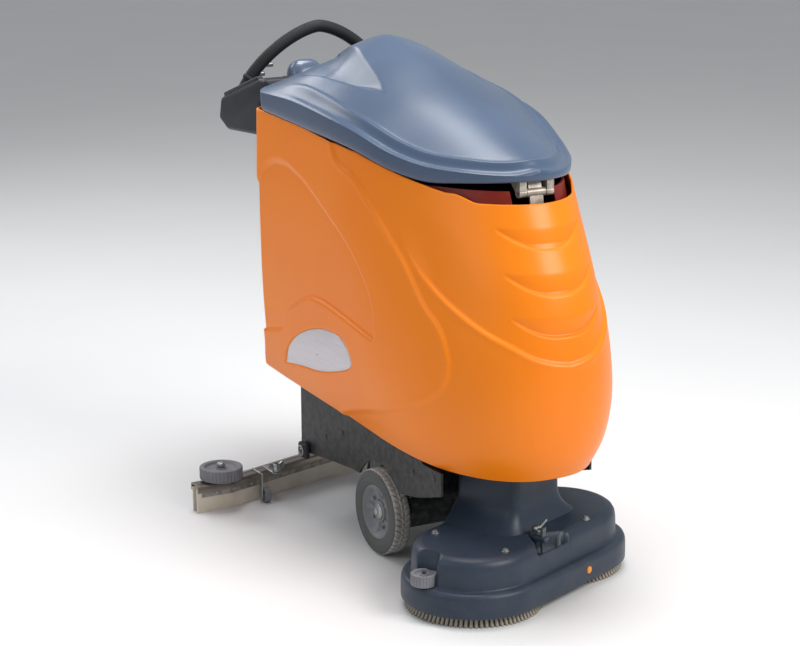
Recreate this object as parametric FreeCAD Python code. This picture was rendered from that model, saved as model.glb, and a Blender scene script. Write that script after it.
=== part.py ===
import FreeCAD, Part
import math
import os

# Walk-behind wet and dry floor scrubber with two scrubbing brushes.
# Millimetres, +Z up, the machine drives towards -Y, its right-hand side is -X.
# The origin is on the floor, at the middle of the machine's length and width.

V = FreeCAD.Vector
os.makedirs("parts", exist_ok=True)

# ---- driving dimensions ----

RUNNING = 0.05            # radial clearance of a shaft or pin in its bore
GAP = 1.5                 # side gap between parts that pass each other

# drive wheels
WHEEL_R = 105.0
TYRE_WIDTH = 48.0
TYRE_INNER_R = 66.0
WHEEL_OUTER_X = 220.0
WHEEL_Y = -135.0
AXLE_R = 10.0
TYRE_SEAT = 6.0           # how far the tyre's inner rim is set in from its sides
TYRE_FLANK = 14.0
TYRE_CHAMFER = (8.0, 7.0)
HUB_BOSS_R = 26.0
HUB_DISH_R = 12.0         # width of the raised ring round the dished hub
HUB_DISH = (14.0, 22.0)   # inner and outer face of the hub's web
HUB_BOSS_INSET = 16.0
WHEEL_CAP = [(0.0, 0.0), (20.0, 0.0), (20.0, 4.0), (9.0, 7.0), (9.0, 11.0), (0.0, 11.0)]
CAP_INSET = 14.0

# drive between the wheels
GEARBOX_R = 52.0
GEARBOX_GAP = 26.0
HANGER_X = 100.0
HANGER_HALF = (5.0, 30.0)

# chassis tray
CHASSIS_HALF = 205.0
CHASSIS_PLATE = 6.0
CHASSIS_TOP = 350.0
TRAY_Z = 296.0
CHASSIS_FRONT_WALL = -280.0
CHASSIS_REAR = 285.0
CHASSIS_NOSE = -432.0
ARCH_GAP = 18.0
LATCH_AT = (252.0, 153.0)
LATCH_PIN_R = 5.0
LATCH_DEPTH = 18.0
LATCH_HALF = (22.0, 20.0)
LATCH_CORNER = 8.0
LATCH_RING = (15.0, 10.0, 3.0)
SCREW_R = 7.0
SCREW_HEAD = 4.0
SCREW_PLACES = [(250.0, 320.0), (60.0, 250.0), (-20.0, 320.0), (150.0, 215.0), (-300.0, 250.0), (-400.0, 262.0)]

# batteries
BATTERY = (150.0, 245.0, 215.0)
BATTERY_GAP = 8.0

# rear caster
CASTER_Y = 205.0
CASTER_R = 50.0
CASTER_WIDTH = 30.0
CASTER_TRAIL = 38.0
CASTER_STEM_R = 12.0
CASTER_TOP = 135.0
CASTER_PLATE = (70.0, 60.0, 8.0)
CASTER_POST_HALF = 8.0
CASTER_POST_INSET = 10.0
CASTER_AXLE_R = 6.0
FORK_PLATE = 6.0

# brush deck
DECK_X = -22.0
DECK_Y = -462.0
DECK_TURN = 22.7          # degrees that the brush line is turned from square
BRUSH_SPACING = 327.0
BRUSH_TIP_R = 157.0
BRISTLE_TOP = 42.0
DISC_THICK = 12.0
SKIRT_R = 165.0
SKIRT_Z = (22.0, 78.0)
TIER_R = 141.0
TIER_TOP = 150.0
DECK_WALL = 6.0
DECK_TRAVEL = 30.0
MOTOR_R = 60.0
MOTOR_SHAFT_R = 10.0
COLUMN_U = (-58.0, 118.0)
COLUMN_V = (-40.0, 128.0)
COLUMN_TOP = 330.0
COLUMN_CORNER = 22.0
GUIDE_R = 8.0
GUIDE_SPACING = 90.0
GUIDE_FOOT = 205.0
MAST_Z = 388.0
LIFT_ROD_R = 6.0
LIFT_ROD_TOP = 452.0
ACTUATOR_R = 25.0
ACTUATOR_TOP = 540.0
DECK_BOLT_R = 8.0
WHEEL_ROOM = 2.0          # between the deck and the front of the left drive wheel
WHEEL_SIDE_WALL = 4.0
BUMPER_R = 30.0
BUMPER_REACH = 144.6
BUMPER_ANGLE = 167.2      # degrees from the brush line, seen from the near brush
BUMPER_PIN_R = 5.0
LEVER_R = 4.0
RELEASE_LEVER_AT = (-50.0, -95.0)
RELEASE_LEVER_REACH = (42.0, 4.0, 10.0)
RELEASE_PIVOT_RISE = 16.0
RELEASE_PIN_R = 3.0
MARKER_U = 60.0
MARKER_Z = 50.0

# squeegee
SQUEEGEE_HALF = 475.0
SQUEEGEE_BEND_X = 378.0
SQUEEGEE_TIP_Y = 355.0
SQUEEGEE_CENTRE_Y = 472.0
BLADE_THICK = 4.0
BLADE_GAP = 30.0
BLADE_HEIGHT = 60.0
CHANNEL_TOP = 75.0
END_ROLLER = (401.0, 354.0)
END_ROLLER_R = 55.0
END_ROLLER_HEIGHT = 32.0
SUPPORT_WHEEL = (285.0, 336.0)
SUPPORT_WHEEL_R = 20.0
KNOB_AT = (255.0, 335.0)
KNOB_R = 22.0
SPIGOT_R = 22.0
SPIGOT_WALL = 4.0
SPIGOT_TILT = 25.0        # degrees rearward, so that a straight hose end clears the console
SPIGOT_FOOT = 22.0
SPIGOT_COLLAR = 5.0       # how far the foot stands out, as the stop of the hose cuff
SPIGOT_LENGTH = 46.0
SWING_Y = 392.0
SWING_PIN_R = 8.0
ARM_PIVOT_Y = 304.0
ARM_PIVOT_Z = 190.0
ARM_PIN_R = 8.0
ARM_WIDTH = 110.0
ARM_EYE_Z = (88.0, 112.0)

# tank shell: height, half width, front, widest place, rear, roundness of the nose
SHELL_STATIONS = [
    (270.0, 208.0, -584.0, -190.0, 424.0, 2.35),
    (340.0, 240.0, -622.0, -190.0, 421.0, 2.35),
    (420.0, 257.0, -646.0, -185.0, 396.0, 2.30),
    (560.0, 265.0, -653.0, -130.0, 398.0, 2.20),
    (700.0, 265.0, -622.0, -60.0, 406.0, 2.10),
    (830.0, 262.0, -562.0, 0.0, 414.0, 2.00),
    (960.0, 256.0, -498.0, 30.0, 422.0, 2.00),
    (1050.0, 252.0, -456.0, 30.0, 428.0, 2.00),
]
SHELL_WALL = 6.0
SHELL_CORNER = 28.0
TANK_FLOOR = 560.0
SKIRT_EDGE = [(460.0, 358.0), (300.0, 345.0), (0.0, 326.0), (-190.0, 306.0), (-400.0, 291.0), (-700.0, 287.0)]
RIM_EDGE = [(460.0, 1012.0), (150.0, 998.0), (-109.0, 975.0), (-270.0, 942.0), (-385.0, 920.0),
            (-700.0, 918.0)]
NOTCH_HALF = 130.0
NOTCH_BOTTOM = 902.0
TANK_PIVOT = (330.0, 335.0)
TANK_PIN_R = 8.0
TANK_LUG_X = 109.0
TANK_LUG_THICK = 10.0

# recovery tank
RECOVERY_GAP = 14.0
RECOVERY_WALL = 4.0
RECOVERY_REAR = 228.0
RECOVERY_Z = (600.0, 930.0)
SUCTION_R = 62.0
SUCTION_Y = 312.0
SUCTION_Z = (566.0, 740.0)

# lid
LID_HALF = 266.0
LID_WIDE_Y = 30.0
LID_NOSE_Y = -515.0
LID_REAR_Y = 395.0
LID_NOSE_POWER = 1.9
LID_DOME_POWER = 1.5
LID_WALL = 5.0
LID_RIM_RISE = [(395.0, 1014.0), (150.0, 1001.0), (-109.0, 981.0), (-250.0, 950.0), (-330.0, 939.0),
                (-420.0, 945.0), (-515.0, 953.0)]
LID_SKIRT = [(395.0, 45.0), (200.0, 55.0), (0.0, 50.0), (-250.0, 38.0), (-330.0, 35.0), (-420.0, 24.0),
             (-515.0, 12.0)]
LID_CREST = [(395.0, 1110.0), (300.0, 1170.0), (200.0, 1204.0), (100.0, 1188.0), (-116.0, 1120.0),
             (-341.0, 1040.0), (-450.0, 1000.0), (-515.0, 975.0)]
LID_HINGE = (-492.0, 926.0)
LID_PIN_R = 5.0
LEAF_START_Z = 951.0
HINGE_BASE_HALF = 25.0
HINGE_EYE_R = 10.0
HINGE_EYE_LENGTH = 18.0

# console and handle
CONSOLE_HALF = 235.0
CONSOLE_PROFILE = [(431.0, 935.0), (640.0, 922.0), (692.3, 945.0), (678.0, 1004.0), (440.0, 1082.0),
                   (400.0, 1082.0), (400.0, 1020.0), (431.0, 1020.0)]
CONSOLE_HOLLOW = [(445.0, 945.0), (622.0, 933.0), (664.0, 952.0), (658.0, 1000.0), (445.0, 1068.0)]
CONSOLE_WALL = 4.0
CONSOLE_ROUND = 14.0
HOOP_R = 17.0
HOOP_HALF = 214.0
HOOP_FOOT = (602.0, 1000.0)
HOOP_RISE = 186.0
HOOP_LEAN = 34.0          # how far forward of its feet the top of the hoop is
HOOP_POWER = 1.54         # 2 is an ellipse, less is more like a triangle
DISPLAY = (96.0, 68.0, 58.0)
DISPLAY_AT = (-72.0, 185.0)
DISPLAY_ROUND = 16.0
KNOB_TURN_R = 20.0
BUTTON_R = 13.0
BUTTON_TRAVEL = 3.0
BUTTON_HEIGHT = 12.0
KEY_R = 11.0
LIFT_LEVER_X = 150.0
LIFT_LEVER_PIVOT = (555.0, 905.0)
LEVER_PIN_R = 4.0
LIFT_LEVER_HALF = 6.0
LIFT_LEVER_REACH = 72.0
LIFT_LEVER_GRIP = [(0.0, 0.0), (9.0, 0.0), (11.0, 30.0), (9.0, 58.0), (0.0, 58.0)]
LEVER_CHEEK = 6.0
BADGE_ARC = [(250.0, 395.0), (50.0, 532.0), (-108.0, 463.0)]
BADGE_PROUD = 2.0


# ---- shapes used all over ----

def rod(r, start, end):
    a = V(*start)
    b = V(*end)
    return Part.makeCylinder(r, (b - a).Length, a, b - a)


def tube(r_out, r_in, start, end):
    return rod(r_out, start, end).cut(rod(r_in, start, end))


def box(x, y, z):
    return Part.makeBox(x[1] - x[0], y[1] - y[0], z[1] - z[0], V(x[0], y[0], z[0]))


def side_prism(outline, x):
    """A (y, z) outline pulled from x[0] to x[1]."""
    face = Part.Face(Part.makePolygon([V(x[0], y, z) for y, z in outline + outline[:1]]))
    return face.extrude(V(x[1] - x[0], 0, 0))


def plan_prism(outline, z):
    """An (x, y) outline pulled from z[0] to z[1]."""
    face = Part.Face(Part.makePolygon([V(x, y, z[0]) for x, y in outline + outline[:1]]))
    return face.extrude(V(0, 0, z[1] - z[0]))


def turned(profile, centre, axis):
    """An outline of (radius, height) points turned about an axis through centre."""
    face = Part.Face(Part.makePolygon([V(r, 0, h) for r, h in profile + profile[:1]]))
    solid = face.revolve(V(0, 0, 0), V(0, 0, 1), 360)
    solid.Placement = FreeCAD.Placement(V(*centre), FreeCAD.Rotation(V(0, 0, 1), V(*axis)))
    return solid


def joined(pieces):
    return pieces[0].multiFuse(pieces[1:]).removeSplitter()


def save(name, shapes):
    """Write one node: a single solid, or a group of separate ones."""
    shape = shapes if isinstance(shapes, Part.Shape) else Part.makeCompound(shapes)
    if len(shape.Solids) == 1:
        shape = shape.Solids[0]
    shape.exportStep("parts/" + name + ".step")
    print(name, len(shape.Solids), shape.isValid())


def between(table, key):
    """Linear reading of a table whose rows start with a rising or falling key."""
    rows = sorted(table)
    key = min(max(key, rows[0][0]), rows[-1][0])
    for low, high in zip(rows, rows[1:]):
        if key <= high[0]:
            share = (key - low[0]) / (high[0] - low[0])
            return [a + (b - a) * share for a, b in zip(low, high)]


# ---- tank shell ----

def shell_section(station, inset, rear_y=None):
    """One level outline: a rounded nose, straight sides and a rear with round corners."""
    z, half, front, wide, rear, power = station
    half -= inset
    front += inset
    rear = rear_y if rear_y is not None else rear - inset
    corner = SHELL_CORNER - min(inset, SHELL_WALL)
    steps = 14
    points = []
    for i in range(steps + 1):
        turn = math.pi * (i / steps - 0.5)
        side = math.copysign(abs(math.sin(turn)) ** (2 / power), math.sin(turn))
        reach = abs(math.cos(turn)) ** (2 / power)
        points.append(V(half * side, wide - (wide - front) * reach, z))
    points[0].y = wide
    points[-1].y = wide
    nose = Part.BSplineCurve()
    nose.interpolate(Points=points, InitialTangent=V(0, -1, 0), FinalTangent=V(0, 1, 0))
    diagonal = corner * (1 - math.sqrt(0.5))
    right = Part.Arc(V(half, rear - corner, z), V(half - diagonal, rear - diagonal, z), V(half - corner, rear, z))
    left = Part.Arc(V(corner - half, rear, z), V(diagonal - half, rear - diagonal, z), V(-half, rear - corner, z))
    edges = [
        nose.toShape(),
        Part.makeLine(V(half, wide, z), V(half, rear - corner, z)),
        right.toShape(),
        Part.makeLine(V(half - corner, rear, z), V(corner - half, rear, z)),
        left.toShape(),
        Part.makeLine(V(-half, rear - corner, z), V(-half, wide, z)),
    ]
    return Part.Wire(edges)


def shell_solid(inset):
    return Part.makeLoft([shell_section(s, inset) for s in SHELL_STATIONS], True, False)


def outside_trim():
    """Everything under the skirt edge and over the rim, as solids to cut away."""
    reach = (-2 * LID_HALF, 2 * LID_HALF)
    under = side_prism([(SKIRT_EDGE[0][0], 200.0)] + SKIRT_EDGE + [(SKIRT_EDGE[-1][0], 200.0)], reach)
    over = side_prism([(RIM_EDGE[0][0], 1150.0)] + RIM_EDGE + [(RIM_EDGE[-1][0], 1150.0)], reach)
    notch = box((-NOTCH_HALF, NOTCH_HALF), (SHELL_STATIONS[3][2] - 20, -300), (NOTCH_BOTTOM, 1150))
    corners = [e for e in notch.Edges if abs(e.CenterOfMass.z - NOTCH_BOTTOM) < 1
               and abs(abs(e.CenterOfMass.x) - NOTCH_HALF) < 1]
    return [under, over, notch.makeFillet(12, corners)]


def tank_lugs():
    y, z = TANK_PIVOT
    rear = between([s[:1] + s[4:5] for s in SHELL_STATIONS], z + 60)[1] - SHELL_WALL / 2
    lugs = []
    for side in (-1, 1):
        near = side * TANK_LUG_X
        far = side * (TANK_LUG_X + TANK_LUG_THICK)
        x = (min(near, far), max(near, far))
        plate = side_prism([(y - 12, z - 15), (y + 12, z - 15), (rear, z + 30), (rear, z + 90), (y - 12, z + 15)], x)
        lugs.append(plate.cut(rod(TANK_PIN_R + RUNNING, (x[0] - 1, y, z), (x[1] + 1, y, z))))
    return lugs


inner_space = shell_solid(SHELL_WALL)
floor_slab = box((-400, 400), (-800, 600), (TANK_FLOOR, TANK_FLOOR + SHELL_WALL))
tank_shell = shell_solid(0).cut(inner_space.cut(floor_slab))
for waste in outside_trim():
    tank_shell = tank_shell.cut(waste)
tank_shell = joined([tank_shell] + tank_lugs())


# ---- lid ----

def lid_half_width(y, inset):
    if y >= LID_WIDE_Y:
        return LID_HALF - inset
    share = (LID_WIDE_Y - y) / (LID_WIDE_Y - LID_NOSE_Y - inset)
    return (LID_HALF - inset) * (1 - share ** LID_NOSE_POWER) ** (1 / LID_NOSE_POWER)


def lid_section(y, inset):
    """A section across the lid: an upright skirt each side and a dome between them."""
    half = lid_half_width(y, inset)
    low = between(LID_RIM_RISE, y)[1] - (inset > 0) * 2
    shoulder = between(LID_RIM_RISE, y)[1] + between(LID_SKIRT, y)[1] - inset
    crest = between(LID_CREST, y)[1] - inset
    steps = 12
    points = []
    for i in range(steps + 1):
        across = 2 * i / steps - 1
        rise = (crest - shoulder) * (1 - abs(across) ** LID_DOME_POWER)
        points.append(V(half * across, y, shoulder + rise))
    dome = Part.BSplineCurve()
    dome.interpolate(points)
    left = V(-half, y, low)
    right = V(half, y, low)
    return Part.Wire([
        Part.makeLine(left, points[0]),
        dome.toShape(),
        Part.makeLine(points[-1], right),
        Part.makeLine(right, left),
    ])


def lid_solid(inset):
    """Sections crowd towards the nose, where the outline turns fastest."""
    nose = LID_NOSE_Y + inset
    rear = LID_REAR_Y - inset
    straight = [rear, (rear + LID_WIDE_Y) / 2, LID_WIDE_Y]
    turn = [20, 38, 53, 65, 74, 82]
    curved = [LID_WIDE_Y - (LID_WIDE_Y - nose) * math.sin(math.radians(a)) for a in turn]
    return Part.makeLoft([lid_section(y, inset) for y in straight + curved], True, False)


lid_shell = lid_solid(0).cut(lid_solid(LID_WALL))

hinge_y, hinge_z = LID_HINGE
base_eye = rod(HINGE_EYE_R, (-HINGE_BASE_HALF, hinge_y, hinge_z), (HINGE_BASE_HALF, hinge_y, hinge_z))
base_plate = side_prism([(hinge_y - 50, 840), (hinge_y + 6, 840), (hinge_y + 8, hinge_z), (hinge_y - 8, hinge_z)],
                        (-HINGE_BASE_HALF, HINGE_BASE_HALF))
eye_outer = HINGE_BASE_HALF + GAP + HINGE_EYE_LENGTH
lid_pin = rod(LID_PIN_R, (-eye_outer - 3, hinge_y, hinge_z), (eye_outer + 3, hinge_y, hinge_z))
lid_hinge_base = joined([base_eye, base_plate, lid_pin]).cut(tank_shell)
lid_hinge_base = max(lid_hinge_base.Solids, key=lambda s: s.Volume)

leaf = []
for side in (-1, 1):
    ends = sorted([side * (HINGE_BASE_HALF + GAP), side * eye_outer])
    eye = rod(HINGE_EYE_R, (ends[0], hinge_y, hinge_z), (ends[1], hinge_y, hinge_z))
    plate = side_prism([(hinge_y - 9, hinge_z), (hinge_y + 9, hinge_z), (hinge_y + 30, hinge_z + 20),
                        (hinge_y + 50, hinge_z + 100), (hinge_y - 9, hinge_z + 100)], ends)
    leaf.append(eye.fuse(plate))
leaf.append(box((-eye_outer, eye_outer), (hinge_y + 14, hinge_y + 22), (hinge_z + 26, hinge_z + 100)))
under_lid = lid_solid(LID_WALL).fuse(box((-200, 200), (LID_NOSE_Y, LID_WIDE_Y), (hinge_z - 100, LEAF_START_Z)))
lid_hinge_leaf = joined(leaf).common(under_lid)
lid_hinge_leaf = lid_hinge_leaf.cut(rod(LID_PIN_R + RUNNING, (-200, hinge_y, hinge_z), (200, hinge_y, hinge_z)))
lid_hinge_leaf = max(lid_hinge_leaf.Solids, key=lambda s: s.Volume)


# ---- recovery tank and suction motor ----

def recovery_solid(inset, z_low, z_high):
    levels = [z_low + (z_high - z_low) * i / 3 for i in range(4)]
    sections = []
    for z in levels:
        station = between(SHELL_STATIONS, z)
        sections.append(shell_section(station, SHELL_WALL + RECOVERY_GAP + inset, RECOVERY_REAR - inset))
    return Part.makeLoft(sections, True, False)


recovery_tank = recovery_solid(0, *RECOVERY_Z).cut(
    recovery_solid(RECOVERY_WALL, RECOVERY_Z[0] + RECOVERY_WALL, RECOVERY_Z[1] + 20))
tank_feet = [box((x - 20, x + 20), (y - 20, y + 20), (TANK_FLOOR + SHELL_WALL, RECOVERY_Z[0] + RECOVERY_WALL))
             for x in (-120, 120) for y in (-400, 120)]
hinge_room = box((-eye_outer - 12, eye_outer + 12), (hinge_y - 60, hinge_y + 62), (830, 1100))
recovery_tank = joined([recovery_tank] + tank_feet).cut(hinge_room)

suction_motor = joined([
    rod(SUCTION_R, (0, SUCTION_Y, SUCTION_Z[0]), (0, SUCTION_Y, SUCTION_Z[1])),
    rod(SUCTION_R * 0.7, (0, SUCTION_Y, SUCTION_Z[1]), (0, SUCTION_Y, SUCTION_Z[1] + 70)),
])


# ---- console, handle and controls ----

panel_rear = CONSOLE_PROFILE[3]
panel_front = CONSOLE_PROFILE[4]
panel_slope = math.degrees(math.atan2(panel_front[1] - panel_rear[1], panel_rear[0] - panel_front[0]))
panel_turn = FreeCAD.Rotation(V(1, 0, 0), -panel_slope)
panel_normal = panel_turn.multVec(V(0, 0, 1))


def on_panel(shape, x, up):
    """Move a shape drawn at the origin to a place on the sloping panel."""
    rear_edge = V(x, panel_rear[0], panel_rear[1])
    placed = shape.copy()
    placed.Placement = FreeCAD.Placement(rear_edge + panel_turn.multVec(V(0, -up, 0)), panel_turn)
    return placed


console = side_prism(CONSOLE_PROFILE, (-CONSOLE_HALF, CONSOLE_HALF))
rear_corners = [e for e in console.Edges if e.BoundBox.XLength > 1
                and e.CenterOfMass.y > CONSOLE_PROFILE[1][0] - 1]
console = console.makeFillet(CONSOLE_ROUND, rear_corners)
hollow = side_prism(CONSOLE_HOLLOW, (CONSOLE_WALL - CONSOLE_HALF, CONSOLE_HALF - CONSOLE_WALL))
console = console.cut(hollow)


def hoop_point(share):
    """A place on the middle line of the hoop, from its left foot at 0 to its right foot at 1."""
    turn = math.pi * share
    reach = abs(math.cos(turn)) ** (2 / HOOP_POWER)
    lift = math.sin(turn) ** (2 / HOOP_POWER)
    return V(HOOP_HALF * math.copysign(reach, math.cos(turn)), HOOP_FOOT[0] - HOOP_LEAN * lift,
             HOOP_FOOT[1] + HOOP_RISE * lift)


hoop_steps = 20
hoop_curve = Part.BSplineCurve()
hoop_curve.interpolate([hoop_point(i / hoop_steps) for i in range(hoop_steps + 1)])
hoop_edge = hoop_curve.toShape()
foot_point = hoop_edge.Vertexes[0].Point
foot_ring = Part.Wire([Part.Edge(Part.Circle(foot_point, hoop_edge.tangentAt(hoop_edge.FirstParameter), HOOP_R))])
handle_hoop = Part.Wire([hoop_edge]).makePipeShell([foot_ring], True, False)
console = console.cut(handle_hoop)

display_block = box((-DISPLAY[0] / 2, DISPLAY[0] / 2), (-DISPLAY[1] / 2, DISPLAY[1] / 2), (0, DISPLAY[2]))
display_block = display_block.makeFillet(DISPLAY_ROUND, [e for e in display_block.Edges if e.CenterOfMass.z > 1])
display_cover = on_panel(display_block, *DISPLAY_AT)
knob_stem = rod(KNOB_TURN_R * 0.35, (0, 0, -12), (0, 0, 4))
speed_knob = joined([knob_stem, rod(KNOB_TURN_R, (0, 0, 0.5), (0, 0, 20)),
                     box((-3, 3), (-KNOB_TURN_R + 2, KNOB_TURN_R - 2), (20, 24))])
key_switch = joined([rod(KEY_R * 0.5, (0, 0, -12), (0, 0, 2)), rod(KEY_R, (0, 0, 0.5), (0, 0, 8)),
                     box((-2, 2), (-KEY_R, KEY_R), (8, 30))])
button = rod(BUTTON_R, (0, 0, -BUTTON_HEIGHT / 2), (0, 0, BUTTON_HEIGHT / 2))
CONTROLS = {
    "speed_knob": (speed_knob, 40, 150, KNOB_TURN_R * 0.35),
    "key_switch": (key_switch, 120, 150, KEY_R * 0.5),
    "button_start": (button, 20, 85, BUTTON_R),
    "button_water": (button, 75, 85, BUTTON_R),
}
for name, (shape, x, up, bore_r) in CONTROLS.items():
    save(name, on_panel(shape, x, up))
    console = console.cut(on_panel(rod(bore_r + RUNNING * 4, (0, 0, -25), (0, 0, 25)), x, up))


lift_y, lift_z = LIFT_LEVER_PIVOT
lever_x = (LIFT_LEVER_X - LIFT_LEVER_HALF, LIFT_LEVER_X + LIFT_LEVER_HALF)
squeegee_lever = joined([
    box(lever_x, (lift_y, lift_y + LIFT_LEVER_REACH), (lift_z - 9, lift_z + 1)),
    rod(14, (lever_x[0], lift_y, lift_z), (lever_x[1], lift_y, lift_z)),
    turned(LIFT_LEVER_GRIP, (LIFT_LEVER_X, lift_y + LIFT_LEVER_REACH - 2, lift_z - 4), (0, 1, 0)),
]).cut(rod(LEVER_PIN_R + RUNNING, (LIFT_LEVER_X - 20, lift_y, lift_z), (LIFT_LEVER_X + 20, lift_y, lift_z)))
cheek_inner = LIFT_LEVER_HALF + GAP
cheek_outer = cheek_inner + LEVER_CHEEK
lever_cheeks = []
for side in (-1, 1):
    ends = sorted([LIFT_LEVER_X + side * cheek_inner, LIFT_LEVER_X + side * cheek_outer])
    lever_cheeks.append(side_prism([(lift_y - 14, lift_z - 12), (lift_y + 12, lift_z - 12),
                                    (lift_y + 14, 940), (lift_y - 16, 940)], ends))
lever_cheeks.append(rod(LEVER_PIN_R, (LIFT_LEVER_X - cheek_outer, lift_y, lift_z),
                        (LIFT_LEVER_X + cheek_outer, lift_y, lift_z)))
console = joined([console] + lever_cheeks)

save("console_housing", console)
save("handle_hoop", handle_hoop)
save("display_cover", display_cover)
save("squeegee_lever", squeegee_lever)

badges = []
for side in (-1, 1):
    (rear_y, rear_z), (mid_y, mid_z), (front_y, front_z) = BADGE_ARC
    x = side * (SHELL_STATIONS[3][1] - 20)
    arc = Part.Arc(V(x, rear_y, rear_z), V(x, mid_y, mid_z), V(x, front_y, front_z)).toShape()
    chord = Part.makeLine(V(x, front_y, front_z), V(x, rear_y, rear_z))
    plate = Part.Face(Part.Wire([arc, chord])).extrude(V(side * (20 + BADGE_PROUD), 0, 0))
    plate = plate.cut(shell_solid(0))
    badges.append(max(plate.Solids, key=lambda s: s.Volume))
save("badge_plates", badges)

save("tank_shell", tank_shell)
save("lid_shell", lid_shell)
save("lid_hinge_base", lid_hinge_base)
save("lid_hinge_leaf", lid_hinge_leaf)
save("recovery_tank", recovery_tank)
save("suction_motor", suction_motor)


# ---- chassis ----

plate_side = (CHASSIS_HALF - CHASSIS_PLATE, CHASSIS_HALF)
chassis_outline = [(CHASSIS_REAR, CHASSIS_TOP), (CHASSIS_REAR, 141.0), (133.0, 160.0), (0.0, 172.0), (-200.0, 172.0),
                   (-325.0, 196.0), (CHASSIS_NOSE, 229.0), (CHASSIS_NOSE, 284.0), (-345.0, 284.0),
                   (-325.0, CHASSIS_TOP)]
wall_foot = 180.0
chassis_pieces = [
    side_prism(chassis_outline, plate_side),
    side_prism(chassis_outline, (-plate_side[1], -plate_side[0])),
    box((-plate_side[0], plate_side[0]), (CHASSIS_FRONT_WALL, CHASSIS_REAR), (TRAY_Z, TRAY_Z + CHASSIS_PLATE)),
    box((-plate_side[0], plate_side[0]), (CHASSIS_FRONT_WALL, CHASSIS_FRONT_WALL + CHASSIS_PLATE),
        (wall_foot, CHASSIS_TOP)),
    box((-plate_side[0], plate_side[0]), (CHASSIS_REAR - CHASSIS_PLATE, CHASSIS_REAR), (wall_foot - 39, CHASSIS_TOP)),
]
pivot_y, pivot_z = TANK_PIVOT
ear_x = (TANK_LUG_X - GAP - TANK_LUG_THICK, TANK_LUG_X - GAP)
for ends in (ear_x, (-ear_x[1], -ear_x[0])):
    chassis_pieces.append(side_prism([(CHASSIS_REAR, pivot_z - 30), (pivot_y + 14, pivot_z - 14),
                                      (pivot_y + 14, pivot_z + 14), (CHASSIS_REAR, pivot_z + 14)], ends))
pin_half = TANK_LUG_X + TANK_LUG_THICK + GAP + 3
chassis_pieces.append(rod(TANK_PIN_R, (-pin_half, pivot_y, pivot_z), (pin_half, pivot_y, pivot_z)))

plate_x, plate_y, plate_thick = CASTER_PLATE
caster_plate = box((-plate_x, plate_x), (CASTER_Y - plate_y, CASTER_Y + plate_y),
                   (CASTER_TOP, CASTER_TOP + plate_thick))
post_x, post_y = plate_x - CASTER_POST_INSET, plate_y - CASTER_POST_INSET
caster_posts = [box((x - CASTER_POST_HALF, x + CASTER_POST_HALF), (y - CASTER_POST_HALF, y + CASTER_POST_HALF),
                    (CASTER_TOP + plate_thick, TRAY_Z))
                for x in (-post_x, post_x) for y in (CASTER_Y - post_y, CASTER_Y + post_y)]
stem_hole = rod(CASTER_STEM_R + RUNNING, (0, CASTER_Y, 100), (0, CASTER_Y, CASTER_TOP + 40))
caster_boss = rod(CASTER_STEM_R + 10, (0, CASTER_Y, CASTER_TOP), (0, CASTER_Y, CASTER_TOP + 30))
save("caster_plate", joined([caster_plate, caster_boss] + caster_posts).cut(stem_hole))

arch = rod(WHEEL_R + ARCH_GAP, (-300, WHEEL_Y, WHEEL_R), (300, WHEEL_Y, WHEEL_R))
side_arches = [arch.common(box((s * 250 - 120, s * 250 + 120), (-500, 500), (0, 400))) for s in (-1, 1)]
chassis = joined(chassis_pieces)
for waste in side_arches:
    chassis = chassis.cut(waste)

column_angle = math.radians(DECK_TURN)


def deck_point(u, v, z):
    """Deck places: u runs along the brush line to the far side, v runs rearward."""
    x = DECK_X + u * math.cos(column_angle) - v * math.sin(column_angle)
    y = DECK_Y + u * math.sin(column_angle) + v * math.cos(column_angle)
    return (x, y, z)


column_mid = (sum(COLUMN_U) / 2, sum(COLUMN_V) / 2)
guide_places = [(column_mid[0] + side * GUIDE_SPACING / 2, column_mid[1]) for side in (-1, 1)]
actuator_at = deck_point(column_mid[0], column_mid[1], 0)
mast_front = deck_point(column_mid[0], COLUMN_V[0] + 40, 0)[1]
mast = [
    box((-120, 100), (mast_front, CHASSIS_FRONT_WALL + CHASSIS_PLATE), (MAST_Z, MAST_Z + 8)),
    box((-120, 100), (CHASSIS_FRONT_WALL, CHASSIS_FRONT_WALL + CHASSIS_PLATE), (CHASSIS_TOP - 40, MAST_Z)),
]
chassis = joined([chassis] + mast)
chassis = chassis.cut(rod(LIFT_ROD_R + 2, (*actuator_at[:2], MAST_Z - 1), (*actuator_at[:2], MAST_Z + 9)))
guide_rods = [rod(GUIDE_R, deck_point(u, v, GUIDE_FOOT), deck_point(u, v, MAST_Z)) for u, v in guide_places]
save("guide_rods", guide_rods)

lift_actuator = rod(ACTUATOR_R, (*actuator_at[:2], MAST_Z + 8), (*actuator_at[:2], ACTUATOR_TOP))
lift_bore = rod(LIFT_ROD_R + RUNNING, (*actuator_at[:2], MAST_Z), (*actuator_at[:2], LIFT_ROD_TOP + DECK_TRAVEL + 8))
save("lift_actuator", lift_actuator.cut(lift_bore))

batteries = []
for side in (-1, 1):
    for row in (0, 1):
        x = side * (BATTERY_GAP / 2 + BATTERY[0] / 2)
        y = CHASSIS_FRONT_WALL + CHASSIS_PLATE + 6 + BATTERY[1] / 2 + row * (BATTERY[1] + BATTERY_GAP)
        block = box((x - BATTERY[0] / 2, x + BATTERY[0] / 2), (y - BATTERY[1] / 2, y + BATTERY[1] / 2),
                    (TRAY_Z + CHASSIS_PLATE, TRAY_Z + CHASSIS_PLATE + BATTERY[2]))
        posts = [rod(9, (x, y + end * BATTERY[1] * 0.35, TRAY_Z + BATTERY[2]),
                     (x, y + end * BATTERY[1] * 0.35, TRAY_Z + CHASSIS_PLATE + BATTERY[2] + 14)) for end in (-1, 1)]
        batteries.append(joined([block] + posts))
save("battery_pack", batteries)

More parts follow.
